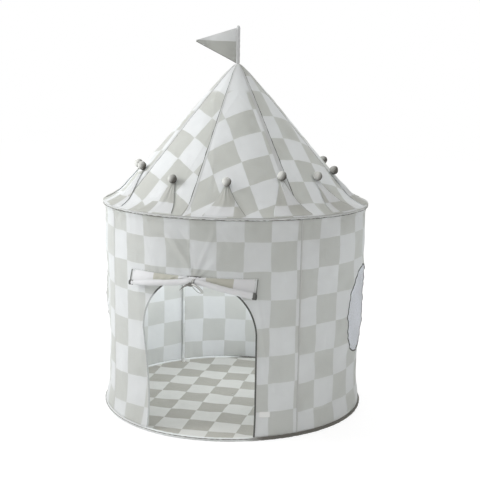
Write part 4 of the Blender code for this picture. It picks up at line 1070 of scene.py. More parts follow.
sleeve_print = cloth_material("sleeve_print", SLEEVE_LIGHT_BRIGHTENED, SLEEVE_DARK_BRIGHTENED)
for corner, facing in CORNERS:
    low, high = (np.array(place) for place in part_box("wall_pole_" + corner))
    foot = (low + high) / 2 * (1, 1, 0) + (0, 0, low[2] + SLEEVE_ENDS)
    head = foot * (1, 1, 0) + (0, 0, high[2] - SLEEVE_ENDS)
    print_at = (SLEEVE_PRINT_AT[0], foot[2] + SLEEVE_PRINT_AT[1])
    sleeve("wall_sleeve_" + corner, foot, head, facing, print_at, sleeve_print, "wall_cloth")
    away = SLEEVE_RADIUS + SLEEVE_SEAM
    seam_at = foot - np.array(around(facing + SLEEVE_SEAM_TURN, away, 0))
    route = seam_at + np.linspace(0, 1, SLEEVE_SEAM_STEPS)[:, None] * (head - foot)
    name = "wall_sleeve_seam_" + corner
    thin_cord(name, route, SLEEVE_SEAM, tape, SLEEVE_SEAM_SHADE, tent, "dark_tape")

# Doorway and window bindings: bias tape folded over the cut edge of the wall's cloth and stitched.
# It is drawn tight round the curves, so it stands a little proud and has small puckers.
BINDING_WIDTH = 0.0054
BINDING_PROUD = 0.0017
BINDING_SIDES = 14
BINDING_PUCKER = 0.0004
BINDING_OVER = 0.0004
BINDING_STITCH_SHARES = (0.75, 0.9)
# How much paler the doorway's tape is painted down its left side as painted light, and from where.
TAPE_LIT_SHARE = 0.70
TAPE_LIT_FROM = -0.146
TAPE_LIT_SOFT = 0.012
WINDOWS = (("right", 90), ("left", -90))


def binding(name, facing, outline, closed, shares, stands_for):
    """Tape round an opening's edge, with a flat oval section, from inside its outline to outside it."""
    inner = outline(-BINDING_OVER)
    outer = outline(BINDING_WIDTH)
    turn = np.linspace(0, 2 * math.pi, BINDING_SIDES, endpoint=False)
    middle = (inner + outer) / 2
    half = (outer - inner) / 2
    run = np.concatenate([[0], np.cumsum(np.hypot(*np.diff(middle, axis=0).T))])
    rows = []
    for angle in turn:
        reach = np.sign(math.cos(angle)) * abs(math.cos(angle)) ** 0.6
        pucker = BINDING_PUCKER * swell(run, run * 0 + reach * 0.01, 0.012, 41)
        edge = middle + half * reach
        depth = BINDING_PROUD * math.sin(angle) + pucker * np.sign(math.sin(angle))
        rows.append(wall_place(facing, edge, depth))
    points = np.stack(rows + rows[:1])
    prints = pairs(run[None, :], np.append(turn, 2 * math.pi)[:, None] * BINDING_PROUD)
    share = np.broadcast_to(shares(middle), points.shape[:2])
    mesh = cloth_mesh(name, points, prints, ring=closed, share=share)
    piece = show(name, mesh, tape, tent, "dark_tape", stands_for)
    weld = piece.modifiers.new("fold", "WELD")
    weld.merge_threshold = CLOTH / 20


def door_tape_shade(edge):
    """The tape is painted paler down the left side of the doorway: painted light where it faces the key lamp.
    """
    return 1 - TAPE_LIT_SHARE * unit((TAPE_LIT_FROM - edge[:, 0]) / TAPE_LIT_SOFT)


def window_tape_shade(edge):
    """The windows' tape is dark all the way round."""
    return np.ones(len(edge))


binding("door_tape", 0, door_outline, False, door_tape_shade, "door_binding")
for side_name, facing in WINDOWS:
    piece_name = "window_tape_" + side_name
    binding(piece_name, facing, window_outline, True, window_tape_shade, "window_binding_" + side_name)
stitch_out = BINDING_WIDTH * BINDING_STITCH_SHARES[0]
stitch_lift = BINDING_PROUD * BINDING_STITCH_SHARES[1]
tape_lines = [wall_place(0, door_outline(stitch_out), stitch_lift)]
for _, facing in WINDOWS:
    oval = window_outline(stitch_out)
    tape_lines.append(wall_place(facing, np.concatenate([oval, oval[:1]]), stitch_lift))
sew("tape_stitches", tape_lines, thread_dark, tent, "dark_tape")

# Window nets: fine knitted polyester net, sewn under the binding and pulled flat with the wall.
# Its holes are smaller than the picture can show from afar, so the material cuts them out.
NET_COLOUR = (0.54, 0.56, 0.62)
NET_HOLE = 0.0016
NET_TALL_SHARE = 0.58
NET_RINGS = 40
NET_SPOKES = 120
NET_START_SHARE = 0.001


def net_material():
    """Hexagon-like net, see-through in its holes."""
    material, wire, output = new_material("net")
    place = wire.node("ShaderNodeUVMap", {"uv_map": "print"}, {})
    across, along = first_two(place)
    pace = 2 * math.pi / NET_HOLE
    waves = (across * pace).sine() * (along * pace * NET_TALL_SHARE).sine()
    cord = wire.sum("ABSOLUTE", waves).between(0.75, 0.45)
    values = {"Base Color": (*NET_COLOUR, 1), "Roughness": 0.85, "Alpha": 0.35 + cord * 0.6}
    surface = wire.node("ShaderNodeBsdfPrincipled", {}, values)
    wire.tree.links.new(surface.socket, output.inputs["Surface"])
    return material


net = net_material()
for side_name, facing in WINDOWS:
    oval = window_outline(BINDING_WIDTH / 2, NET_SPOKES) - (0, WINDOW_HEIGHT)
    share = np.linspace(NET_START_SHARE, 1, NET_RINGS)[:, None, None]
    flat = oval[None] * share + (0, WINDOW_HEIGHT)
    points = wall_place(facing, flat)
    mesh = cloth_mesh("net_" + side_name, points, flat, ring="flat")
    piece = show("net_" + side_name, mesh, net, tent, "net", "window_mesh_" + side_name)
    size = (2 * WINDOW_HALF_WIDTH, 2 * WINDOW_HALF_HEIGHT)

# Label: a small blank woven tab, sewn flat on the wall beside the doorway by its four edges.
# It is white satin tape, smoother than the cloth that it is on.
LABEL_AZIMUTH = 30.7
LABEL_HEIGHT = 0.091
LABEL_WIDE = 0.040
LABEL_TALL = 0.020
LABEL_LIFT = 0.0009
LABEL_THICK = 0.0004
LABEL_LIGHT = (0.76, 0.76, 0.75)
LABEL_DARK = (0.7, 0.7, 0.7)
LABEL_STITCH_LIFT = 0.0003
LABEL_EDGE_SHARES = (0.46, 0.42)
LABEL_STITCH_STEPS = 30


def label_spot(across, up):
    """The azimuth and the height of places on the label, by shares of its width and its height."""
    turn = LABEL_AZIMUTH + np.degrees(LABEL_WIDE / BASE_RADIUS) * across
    return turn, LABEL_HEIGHT + LABEL_TALL * up


label_turn, label_rise = label_spot(np.linspace(-0.5, 0.5, 24)[None, :], np.linspace(-0.5, 0.5, 14)[:, None])
label_points = place_points(label_turn, wall_radius(label_turn, label_rise) + LABEL_LIFT, label_rise)
label_share = np.zeros(label_points.shape[:2])
label_mesh = cloth_mesh("label_tab", label_points, pairs(label_turn, label_rise), share=label_share)
satin = plain_cloth("satin", LABEL_LIGHT, LABEL_DARK, through=0.1, rough=0.5)
label_piece = thicken(show("label_tab", label_mesh, satin, tent, "label_cloth", "label"), LABEL_THICK)
side, end = LABEL_EDGE_SHARES
along_side = np.linspace(-side, side, LABEL_STITCH_STEPS)
along_end = along_side * 0.9
label_frame = []
for spot in ((along_side, end), (along_side, -end), (side, along_end), (-side, along_end)):
    turn, rise = label_spot(*spot)
    label_frame.append(place_points(turn, wall_radius(turn, rise) + LABEL_LIFT + LABEL_STITCH_LIFT, rise))
sew("label_stitches", label_frame, thread_light, tent, "label_cloth")

# Roof cloths: eight gores of the same print, sewn edge to edge into a cone over four thin poles.
# Each gore was cut on its own, so the check meets the seams at a slant and turns at each of them.
PEAK_HEIGHT = 1.317
ROOF_BOTTOM = 0.7930
ROOF_TOP = 1.3100
ROOF_SLOPE = 0.9012
FLARE_REACH = 0.0388
FLARE_HEIGHT = 0.06
ROOF_SHOULDER = 0.010
ROOF_SHOULDER_SHARE = 0.75
ROOF_SHOULDER_POWER = 1.2
ROOF_CAP_SHARE = 0.06
ROOF_CAP_LOW = 0.15
PRINT_FADE = (0.104, 0.010)
FRONT_SEAM = -3.5
ROOF_WAVE = 0.0028
ROOF_WAVE_SIZE = 0.20
ROOF_WAVE_ROUND = 0.35
ROOF_WAVE_FULL = 0.4
ROOF_FINE_SIZE = 0.07
ROOF_FINE_SHARE = 0.3
ROOF_GATHER = 0.0016
ROOF_GATHER_REACH = 0.05
ROOF_GATHER_SIZE = 0.026
ROOF_SEAM_RIPPLE = 0.0010
ROOF_RIPPLE_REACH = 0.022
ROOF_RIPPLE_SIZE = 0.040
ROOF_HELD_EDGE = 0.006
ROOF_HELD_SEAM = 0.005
ROOF_PULL = 0.0009
ROOF_PULL_OFF = 0.03
ROOF_PULL_SWAY = 0.02
ROOF_PULL_WIDTH = 0.006
GORE_COLUMNS = 74
GORE_ROWS = 184
GORE_ROW_POWER = 1.15
GORES = 8
# On each gore that shows: a corner of the check, and the two sides of its square, on the flat cloth.
MEASURED_GRAIN = {
    0: ((-0.0513, 0.2726), (0.099, -0.047), (0.0256, 0.1015)),
    1: ((-0.0140, 0.2880), (0.089, 0.019), (-0.0195, 0.0925)),
    7: ((0.0439, 0.2720), (0.101, 0.044), (-0.0223, 0.0992)),
}
HIDDEN_CORNER = (0.02, 0.25)
HIDDEN_GRAIN = 17
PEAK_PULL = 0.12
# How far below the peak gore 2's check is shifted by one square: painted shade of a fold there.
PEAK_PAINTED_SHADE = 0.068
PEAK_PULL_REACH = 0.16
ROOF_SLEEVE_ENDS = 0.03
ROOF_SLEEVE_PRINT = (0.02, 0.05)
# The roof's print is painted lighter than the wall's, though it is the same cloth: painted light for the
# light that the roof catches.
ROOF_LIGHT = (0.90, 0.90, 0.905)
ROOF_DARK = (0.64, 0.635, 0.59)
ROOF_SEAMS = (FRONT_SEAM, 45, 90, 135, 180, 225, 270, 315, 360 + FRONT_SEAM)
SLANT = math.hypot(1, ROOF_SLOPE)
TURN_SHARE = ROOF_SLOPE / SLANT


def roof_radius(azimuth, z):
    """Distance of the roof's cloth from the axis: a cone that turns out over the eave, with folds."""
    azimuth, z = np.broadcast_arrays(np.asarray(azimuth, float), np.asarray(z, float))
    from_eave = z - ROOF_BOTTOM
    rise = unit(from_eave / (ROOF_TOP - ROOF_BOTTOM))
    wrapped = np.mod(azimuth - FRONT_SEAM, 360) + FRONT_SEAM
    gore = np.searchsorted(ROOF_SEAMS, wrapped, side="right").clip(1, GORES)
    start = np.array(ROOF_SEAMS)[gore - 1]
    end = np.array(ROOF_SEAMS)[gore]
    between = unit((wrapped - start) / (end - start))
    slack = np.sin(math.pi * between)
    flare = FLARE_REACH * np.clip(1 - from_eave / FLARE_HEIGHT, 0, None) ** 3
    cap = ROOF_CAP_LOW + (1 - ROOF_CAP_LOW) * unit((1 - rise) / ROOF_CAP_SHARE) ** 0.5
    shoulder = unit(rise / ROOF_SHOULDER_SHARE) ** ROOF_SHOULDER_POWER * cap
    radius = (PEAK_HEIGHT - z) * ROOF_SLOPE + flare + ROOF_SHOULDER * shoulder
    along = (PEAK_HEIGHT - z) * SLANT
    across = np.radians(wrapped) * ROOF_WAVE_ROUND
    held = np.minimum(1, slack * 3) * np.minimum(1, np.minimum(rise, 1 - rise) * 8)
    size = np.clip(along / ROOF_WAVE_FULL, 0.2, 1)
    radius = radius + ROOF_WAVE * size * held * swell(across, along * 0.8, ROOF_WAVE_SIZE, 51)
    radius = radius + ROOF_WAVE * ROOF_FINE_SHARE * size * held * swell(across, along, ROOF_FINE_SIZE, 52)
    gather = np.exp(-from_eave / ROOF_GATHER_REACH) * swell(across, z * 0.2, ROOF_GATHER_SIZE, 53)
    gather = gather * np.minimum(1, slack * 6)
    radius = radius + ROOF_GATHER * gather * np.minimum(1, from_eave / ROOF_HELD_EDGE)
    from_seam = np.minimum(between, 1 - between) * np.radians(end - start) * radius
    ripple = np.exp(-from_seam / ROOF_RIPPLE_REACH) * swell(across * 0.3, along, ROOF_RIPPLE_SIZE, 54)
    ripple = ROOF_SEAM_RIPPLE * ripple * np.minimum(1, from_seam / ROOF_HELD_SEAM)
    radius = radius + ripple * np.minimum(1, rise * 10)
    pull = bell(from_seam - ROOF_PULL_OFF - ROOF_PULL_SWAY * np.sin(along * 14), ROOF_PULL_WIDTH) * held
    return radius + ROOF_PULL * pull


def gore_print(index, azimuth, z):
    """Where a gore's points lie on the printed cloth: a corner of the check, and its two sides."""
    middle = (ROOF_SEAMS[index] + ROOF_SEAMS[index + 1]) / 2
    turn = np.radians(azimuth - middle) * TURN_SHARE
    away = (PEAK_HEIGHT - z) * SLANT
    # Near the peak of gore 2 the check is shifted one square so that a dark square stands there: painted
    # shade of a fold.
    painted_shade_patch = (index == 1) * (away < PEAK_PAINTED_SHADE)
    if index == 1:
        away = away + PEAK_PULL * np.exp(-away / PEAK_PULL_REACH)
    if index in MEASURED_GRAIN:
        corner, row, column = MEASURED_GRAIN[index]
    else:
        rise = math.radians(-HIDDEN_GRAIN if index % 2 else HIDDEN_GRAIN)
        corner = HIDDEN_CORNER
        row = (SQUARE * math.cos(rise), -SQUARE * math.sin(rise))
        column = (SQUARE * math.sin(rise), SQUARE * math.cos(rise))
    area = row[0] * column[1] - row[1] * column[0]
    off_x = away * np.sin(turn) - corner[0]
    off_y = away * np.cos(turn) - corner[1]
    first = (off_x * column[1] - off_y * column[0]) / area
    second = (off_y * row[0] - off_x * row[1]) / area
    return pairs(first + 1 + painted_shade_patch, second) * SQUARE


roof_print = cloth_material("roof_print", ROOF_LIGHT, ROOF_DARK)
gore_shares = np.linspace(0, 1, GORE_ROWS)[:, None] ** GORE_ROW_POWER
gore_heights = ROOF_BOTTOM + (ROOF_TOP - ROOF_BOTTOM) * gore_shares
for index in range(GORES):
    gore_turn = np.linspace(ROOF_SEAMS[index], ROOF_SEAMS[index + 1], GORE_COLUMNS)[None, :]
    gore_turn, gore_rise = np.broadcast_arrays(gore_turn, gore_heights)
    points = place_points(gore_turn, roof_radius(gore_turn, gore_rise), gore_rise)
    name = "roof_cloth_" + str(index + 1)
    # Near the peak of gores 1 and 8 the print fades to plain light: a painted highlight.
    fade = unit((PEAK_HEIGHT - gore_rise - PRINT_FADE[0]) / PRINT_FADE[1])
    share = fade if index in (0, 7) else np.ones_like(fade)
    mesh = cloth_mesh(name, points, gore_print(index, gore_turn, gore_rise), share=share)
    piece = thicken(show(name, mesh, roof_print, tent, "roof_cloth", "roof_gore_" + str(index + 1)))

for corner, facing in CORNERS:
    low, high = (np.array(place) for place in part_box("roof_pole_" + corner))
    near = np.where(np.abs(low) < np.abs(high), low, high) * (1, 1, 0)
    far = np.where(np.abs(low) < np.abs(high), high, low) * (1, 1, 0)
    top = near + (0, 0, high[2])
    run = top - far - (0, 0, low[2])
    away = run / np.linalg.norm(run) * ROOF_SLEEVE_ENDS
    foot = far + (0, 0, low[2]) + away
    name = "roof_sleeve_" + corner
    sleeve(name, foot, top - away * 2, facing, ROOF_SLEEVE_PRINT, roof_print, "roof_cloth")

# Roof seams: felled seams with a plain strip over each pole's line, wider towards the eave.
# A thin dark strip along the side of each seam strip is painted shadow, the shade line beside the seam.
POLE_STRIP_TOP = 0.008
POLE_STRIP_EAVE = 0.021
PLAIN_STRIP_TOP = 0.004
PLAIN_STRIP_EAVE = 0.010
SHADOW_LINE_TOP = 0.0014
SHADOW_LINE_EAVE = 0.0028
ROOF_LIFT = 0.0009
ROOF_STEPS = 240
SEAM_SHORT = 0.004
SHADOW_LINE_LIFT_SHARE = 0.7
SHADOW_LINE_SWELL = 0.5
SHADOW_LINE_SWELL_SIZE = 0.08
PEAK_MARGIN = 0.01
ROOF_STITCH_SHARES = (0.12, 0.88)

roof_heights = ROOF_BOTTOM + (ROOF_TOP - SEAM_SHORT - ROOF_BOTTOM) * np.linspace(0, 1, ROOF_STEPS)
roof_seam_lines = []
plain_radius = (PEAK_HEIGHT - roof_heights) * ROOF_SLOPE
down = unit((PEAK_HEIGHT - roof_heights) / (PEAK_HEIGHT - ROOF_BOTTOM))


def degrees_off(distance):
    """A sideways distance on the roof, as degrees at each height of a seam."""
    return np.degrees(distance / (plain_radius + PEAK_MARGIN))


for index, seam in enumerate(ROOF_SEAMS[:GORES]):
    on_pole = index % 2 == 1
    wide = POLE_STRIP_TOP + (POLE_STRIP_EAVE - POLE_STRIP_TOP) * down
    if not on_pole:
        wide = PLAIN_STRIP_TOP + (PLAIN_STRIP_EAVE - PLAIN_STRIP_TOP) * down
    left = -wide / 2 if on_pole else 0 * wide
    shadow_width = SHADOW_LINE_TOP + (SHADOW_LINE_EAVE - SHADOW_LINE_TOP) * down
    shadow_width = shadow_width * (1 + SHADOW_LINE_SWELL * swell(down, down * 0, SHADOW_LINE_SWELL_SIZE, 60 + index))
    low = seam + degrees_off(left)
    high = seam + degrees_off(left + wide)
    mesh = strip("roof_seam", low, high, roof_radius, roof_heights, ROOF_LIFT)
    show("roof_seam_" + str(index + 1), mesh, seam_cloth, tent, "roof_cloth")
    # The dark strip of painted seam shadow lies on the pole strip's right side, or on a plain seam's left
    # side.
    dark = (high, high + degrees_off(shadow_width)) if on_pole else (low - degrees_off(shadow_width), low)
    mesh = strip("roof_piping", *dark, roof_radius, roof_heights, ROOF_LIFT * SHADOW_LINE_LIFT_SHARE, 1.0, 3)
    show("roof_piping_" + str(index + 1), mesh, tape, tent, "dark_tape")
    for aside in ROOF_STITCH_SHARES:
        edge = seam + degrees_off(left + wide * aside)
        out = roof_radius(edge, roof_heights) + ROOF_LIFT
        roof_seam_lines.append(place_points(edge, out, roof_heights))
sew("roof_seam_stitches", roof_seam_lines, thread_light, tent, "roof_cloth")

# Crown: twelve leaning points cut from the roof's print, hemmed, and sewn into the eave's seam.
# They stand a little off the roof, puffed in the middle and gathered where the ball is tied on.
CROWN_FEET = (-46, -17, 13, 41, 69, 97, 128, 159, 190, 221, 252, 283)
CROWN_TIPS = (-52, -16.8, 12.8, 42.5, 66.5, 91, 126.5, 160, 188.5, 222.5, 250.5, 284.5)
CROWN_TIP_SHARES = (0.93, 0.74, 0.735, 0.87, 0.81, 0.87, 1, 0.86, 0.8, 0.92, 0.84, 0.9)
CROWN_RISE = 0.14
CROWN_FOOT = 0.7972
CROWN_BASE_WIDTH = 0.142
CROWN_TIP_WIDTH = 0.012
CROWN_STAND_OFF = 0.0034
CROWN_PUFF = 0.0075
CROWN_GATHER = 0.0016
# Thickness and darkness of the painted shadow line up each crown point's right side.
CROWN_SHADOW_LINE = 0.0009
CROWN_SHADOW_LINE_SHADE = 0.8
CROWN_THICK = 0.0014
CROWN_DRAWN_IN = 0.006
CROWN_HEM = 0.0011
CROWN_HEM_WIDTH = 0.0028
CROWN_LEAN = 0.25
CROWN_COLUMNS = 56
CROWN_ROWS = 54
CROWN_PRINT_TURN = 17
CROWN_PRINT_STEP = 12
CROWN_PRINT_HEIGHT = 0.825

side_shares = np.linspace(-1, 1, CROWN_COLUMNS)[None, :]
crown_rises = np.linspace(0, 1, CROWN_ROWS)[:, None] ** 1.25
for index, (foot, lean, tall) in enumerate(zip(CROWN_FEET, CROWN_TIPS, CROWN_TIP_SHARES)):
    tip = EAVE_HEIGHT + CROWN_RISE * tall
    z = CROWN_FOOT + (tip - CROWN_FOOT) * crown_rises
    half = (CROWN_BASE_WIDTH + (CROWN_TIP_WIDTH - CROWN_BASE_WIDTH) * crown_rises) / 2
    half = half - CROWN_DRAWN_IN * np.sin(math.pi * crown_rises)
    turned = foot + (lean - foot) * crown_rises
    turned = turned + side_shares * np.degrees(half / ((PEAK_HEIGHT - z) * ROOF_SLOPE + PEAK_MARGIN))
    puff = CROWN_PUFF * np.cos(math.pi * side_shares / 2) * np.sin(math.pi * crown_rises ** 0.8)
    slant = side_shares + CROWN_LEAN * swell(crown_rises, 0 * crown_rises, 0.9, 70 + index)
    fold = np.cos(4 * math.pi * slant + index) * crown_rises ** 1.3
    fold = fold + 0.6 * np.cos(7 * slant + 3 * crown_rises)
    fold = fold * CROWN_GATHER * np.cos(math.pi * side_shares / 2) ** 0.5 * np.minimum(1, crown_rises * 8)
    edge = CROWN_HEM * bell((1 - np.abs(side_shares)) * half, CROWN_HEM_WIDTH)
    radius = roof_radius(turned, z) + CROWN_STAND_OFF + puff + fold + edge
    points = place_points(turned, radius, z)
    first = points[:1].copy()
    first[..., 2] = ROOF_BOTTOM
    points = np.concatenate([first, points])
    rows = np.concatenate([z[:1] * 0 + ROOF_BOTTOM, z])
    turned = np.concatenate([turned[:1], turned])
    across = (turned - CROWN_PRINT_TURN) / CROWN_PRINT_STEP * SQUARE
    mesh = cloth_mesh("crown_point", points, pairs(across, (rows - CROWN_PRINT_HEIGHT) * SLANT))
    number = str(index + 1)
    piece = show("crown_point_" + number, mesh, roof_print, tent, "roof_cloth", "crown_points")
    thicken(piece, CROWN_THICK)
    # A thin dark cord up the point's right side: painted shadow in the crease between the point and the roof.
    side_run = points[3:, -1]
    thin_cord("crown_piping_" + number, side_run, CROWN_SHADOW_LINE, tape, CROWN_SHADOW_LINE_SHADE, tent, "dark_tape")
    size = (CROWN_BASE_WIDTH, CROWN_RISE * tall * SLANT)

# Bobbles: rounds of the same cloth drawn up over stuffing with a thread, and tied to each point.
# The pleats run from the thread to the ball's crown. Each ball is painted darker on its right side and in its
# pleats, and lighter on top: painted shade and painted light.
BOBBLE_RADIUS = 0.0165
BOBBLE_SPOKES = 72
BOBBLE_RINGS = 40
BOBBLE_PLEATS = 11
BOBBLE_PLEAT = 0.0023
BOBBLE_PLEAT_SHARES = (0.35, 0.65, 0.5)
BOBBLE_PLEAT_REACHES = (0.1, 0.9, 0.5)
BOBBLE_LIFT = 0.0012
BOBBLE_LUMPS = 0.04
# How much darker each ball is painted to its right and in its pleats, and lighter on top: painted shade and
# light.
BOBBLE_TONE = 0.3
BOBBLE_PAINTED_SHADE_SIDE = 0.9
BOBBLE_PAINTED_LIGHT_UP = 0.5
BOBBLE_PAINTED_PLEAT_SHADE = 0.5
BOBBLE_LIGHT = (0.60, 0.60, 0.58)
BOBBLE_DARK = (0.10, 0.095, 0.085)
BOBBLE_TONES = (0.08, 0.3, -0.15, 0, -0.2, 0.4, 0.35, 0.2, 0.3, 0.1, 0.2, 0)

bobble_cloth = plain_cloth("bobble_cloth", BOBBLE_LIGHT, BOBBLE_DARK, through=0)
to_right = np.array(around(CAMERA_AZIMUTH + 90, 1, 0))
ball_turn = np.linspace(0, 2 * math.pi, BOBBLE_SPOKES, endpoint=False)[None, :]
ball_rise = np.linspace(0.02, 0.985, BOBBLE_RINGS)[:, None] * math.pi
for index, (lean, tall) in enumerate(zip(CROWN_TIPS, CROWN_TIP_SHARES)):
    tip = EAVE_HEIGHT + CROWN_RISE * tall
    upright = np.array(around(lean, 1 / SLANT, ROOF_SLOPE / SLANT))
    aside = np.array(around(lean + 90, 1, 0))
    ahead = np.cross(upright, aside)
    cone_radius = (PEAK_HEIGHT - tip) * ROOF_SLOPE
    start = np.array(around(lean, cone_radius + CROWN_STAND_OFF + BOBBLE_LIFT, tip))
    pleat_turn = (ball_turn + 0.4 * np.sin(2 * ball_turn + index)) * BOBBLE_PLEATS / 2 + index
    pleat = np.abs(np.sin(pleat_turn)) ** 0.6
    everywhere, by_thread, by_crown = BOBBLE_PLEAT_SHARES
    thread_rise, thread_reach, crown_reach = BOBBLE_PLEAT_REACHES
    deep = everywhere + by_thread * bell(ball_rise - thread_rise, thread_reach)
    deep = deep + by_crown * bell(math.pi - ball_rise, crown_reach)
    size = BOBBLE_RADIUS - BOBBLE_PLEAT * (1 - pleat) * deep
    size = size * (1 + BOBBLE_LUMPS * swell(ball_turn * 0 + ball_rise, np.sin(ball_turn), 1.6, 80 + index))
    flat = (size * np.sin(ball_rise))[..., None]
    up = (BOBBLE_RADIUS - size * np.cos(ball_rise))[..., None]
    round_part = flat * (np.cos(ball_turn)[..., None] * aside + np.sin(ball_turn)[..., None] * ahead)
    points = start + round_part + up * upright
    prints = pairs(ball_turn, ball_rise) * BOBBLE_RADIUS
    from_middle = (points - points.mean(axis=(0, 1))) / BOBBLE_RADIUS
    # Painted shade to the right and in the pleats, and painted light on top.
    tone = BOBBLE_TONE + BOBBLE_TONES[index] + from_middle @ to_right * BOBBLE_PAINTED_SHADE_SIDE
    tone = tone - from_middle[..., 2] * BOBBLE_PAINTED_LIGHT_UP + BOBBLE_PAINTED_PLEAT_SHADE * (1 - pleat) * deep
    mesh = cloth_mesh("bobble", points, prints, ring=True, share=unit(tone))
    number = str(index + 1)
    piece = show("bobble_" + number, mesh, bobble_cloth, tent, "bobble_cloth", "crown_bobble_" + number)

# Pennant: a three-cornered flag of the roof's print, with a pocket down its wide side for the pole.
# Its edges are turned in and stitched. It turns on the pole.
FLAG_AZIMUTH = -72.5
FLAG_LENGTH = 0.158
FLAG_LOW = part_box("flag_pennant")[0][2]
FLAG_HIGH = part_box("flag_pennant")[1][2]
FLAG_TIP_Z = 1.395
FLAG_POCKET_WIDE = 0.0072
FLAG_POCKET_DEEP = 0.0058
FLAG_WAVE = 0.006
FLAG_CURL = 0.0022
FLAG_CURL_SIZE = 0.06
FLAG_PUCKER = 0.0010
FLAG_PUCKER_REACH = 0.12
FLAG_PUCKER_SIZE = 0.017
FLAG_TIP_SHARE = 0.04
FLAG_THICK = 0.0012
FLAG_PRINT = (0.05, 0.01)
FLAG_COLUMNS = 120
FLAG_ROWS = 70
FLAG_HEM = 0.0013
FLAG_HEM_SHADE = 0.75
FLAG_HEM_UP = 0.012
FLAG_POCKET_SEAM = 0.0009
FLAG_POCKET_SHADE = 0.8
FLAG_POCKET_FOLD = 0.07
FLAG_POCKET_FOLD_SIZE = 0.022
FLAG_STITCH_SHARES = (0.045, 0.955)
FLAG_STITCH_LIFT = 0.0009
FLAG_LIGHT = (0.80, 0.80, 0.80)
FLAG_DARK = (0.46, 0.455, 0.415)
flag_body = "flag"

flag_away = np.array(around(FLAG_AZIMUTH, 1, 0))
flag_aside = np.array(around(FLAG_AZIMUTH + 90, 1, 0))


def flag_place(out, aside, z):
    """Points beside the flag pole: out along the pennant, aside from it, and at a height."""
    return out[..., None] * flag_away + aside[..., None] * flag_aside + z[..., None] * np.array([0, 0, 1.0])


def flag_point(out, share_up):
    """A point of the pennant, by its share of the way out and its share of the way up there."""
    keep = 1 + (FLAG_TIP_SHARE - 1) * out
    low = FLAG_TIP_Z - (FLAG_TIP_Z - FLAG_LOW - CLOTH) * keep
    high = FLAG_TIP_Z + (FLAG_HIGH - CLOTH - FLAG_TIP_Z) * keep
    z = low + (high - low) * share_up
    reach = FLAG_POCKET_WIDE * 0.9 + (FLAG_LENGTH - FLAG_POCKET_WIDE * 0.9) * out
    wave = FLAG_WAVE * np.sin(2 * math.pi * out)
    wave = wave + FLAG_CURL * swell(out * 0.16, z, FLAG_CURL_SIZE, 91) * np.minimum(1, out * 6)
    pucker = np.exp(-out / FLAG_PUCKER_REACH) * swell(z, out * 0.05, FLAG_PUCKER_SIZE, 92)
    return flag_place(reach, wave + FLAG_PUCKER * pucker, z)


flag_out, flag_up = np.meshgrid(np.linspace(0, 1, FLAG_COLUMNS), np.linspace(0, 1, FLAG_ROWS))
flag_points = flag_point(flag_out, flag_up)
flag_prints = pairs(flag_out * FLAG_PRINT[0] + FLAG_PRINT[1], flag_points[..., 2] - FLAG_TIP_Z)
flag_mesh = cloth_mesh("pennant_cloth", flag_points, flag_prints)
flag_print = cloth_material("flag_print", FLAG_LIGHT, FLAG_DARK)
flag_piece = show("pennant_cloth", flag_mesh, flag_print, flag_body, "roof_cloth", "flag_pennant")
thicken(flag_piece, FLAG_THICK)
pocket_turn = np.linspace(0, 2 * math.pi, 40, endpoint=False)[None, :]
pocket_z = np.linspace(FLAG_LOW, FLAG_HIGH, 90)[:, None]
pocket_fold = 1 + FLAG_POCKET_FOLD * swell(pocket_z, np.cos(pocket_turn) * 0.01, FLAG_POCKET_FOLD_SIZE, 93)
pocket_out = FLAG_POCKET_WIDE * pocket_fold * np.cos(pocket_turn)
pocket_aside = FLAG_POCKET_DEEP * pocket_fold * np.sin(pocket_turn)
pocket_points = flag_place(pocket_out, pocket_aside, pocket_z + 0 * pocket_turn)
pocket_print = pairs(pocket_turn * FLAG_POCKET_WIDE, pocket_z)
pocket_mesh = cloth_mesh("pennant_pocket", pocket_points, pocket_print, ring=True, share=0 * pocket_out)
thicken(show("pennant_pocket", pocket_mesh, seam_cloth, flag_body, "roof_cloth"))
flag_run = np.linspace(0, 1, FLAG_COLUMNS)
hem = flag_point(flag_run, 0 * flag_run + FLAG_HEM_UP)
seam = flag_point(flag_run * 0, flag_run)
# The dark cord along the lower edge is the turned hem, painted dark also as painted shade under it.
thin_cord("pennant_lower_hem", hem, FLAG_HEM, tape, FLAG_HEM_SHADE, flag_body, "dark_tape")
thin_cord("pennant_pocket_seam", seam, FLAG_POCKET_SEAM, tape, FLAG_POCKET_SHADE, flag_body, "dark_tape")
flag_lines = [flag_point(flag_run, 0 * flag_run + high) for high in FLAG_STITCH_SHARES]
flag_lines = [line + flag_aside * FLAG_STITCH_LIFT for line in flag_lines]
sew("pennant_stitches", flag_lines, thread_light, flag_body, "roof_cloth")

# Door flap: the doorway's own cloth, hemmed with tape on its sides, rolled up and tied.
# It hangs from a seam over the arch. Its outer face shows the check, and its lining is plain.
FLAP_LEFT = -0.241
FLAP_RIGHT = 0.216
ROLL_RADIUS = 0.0115
ROLL_DROP = 0.072
ROLL_DROPS = ((0, 0.76), (0.2, 0.59), (0.35, 0.5), (0.5, 0.38), (0.6, 0.38), (0.8, 0.66), (1, 0.92))
ROLL_TAPERS = ((0, 0.62), (0.06, 0.7), (0.16, 0.95), (0.85, 0.92), (1, 1.05))
ROLL_STAND_OFF = 0.012
ROLL_STAND_OFFS = ((0, 1), (0.3, 0.35), (0.5, 0.1), (0.6, 0.1), (0.75, 0.35), (1, 1))
ROLL_TURNS = 4.4
ROLL_PITCH = 0.0019
ROLL_STEPS = 190
ROLL_STATIONS = 212
NECK_STEPS = 16
NECK_TURN = -42
ROLL_SMOOTH = 25
ROLL_SMOOTH_FROM = 30
ROLL_REST = 0.0006
ROLL_HALF_SIGHT = 0.011
ROLL_LOOSE = ((0.0006, 0.004, 0.05, 101), (0.0005, 0.02, 0.02, 102))
NECK_GATHER = 0.0028
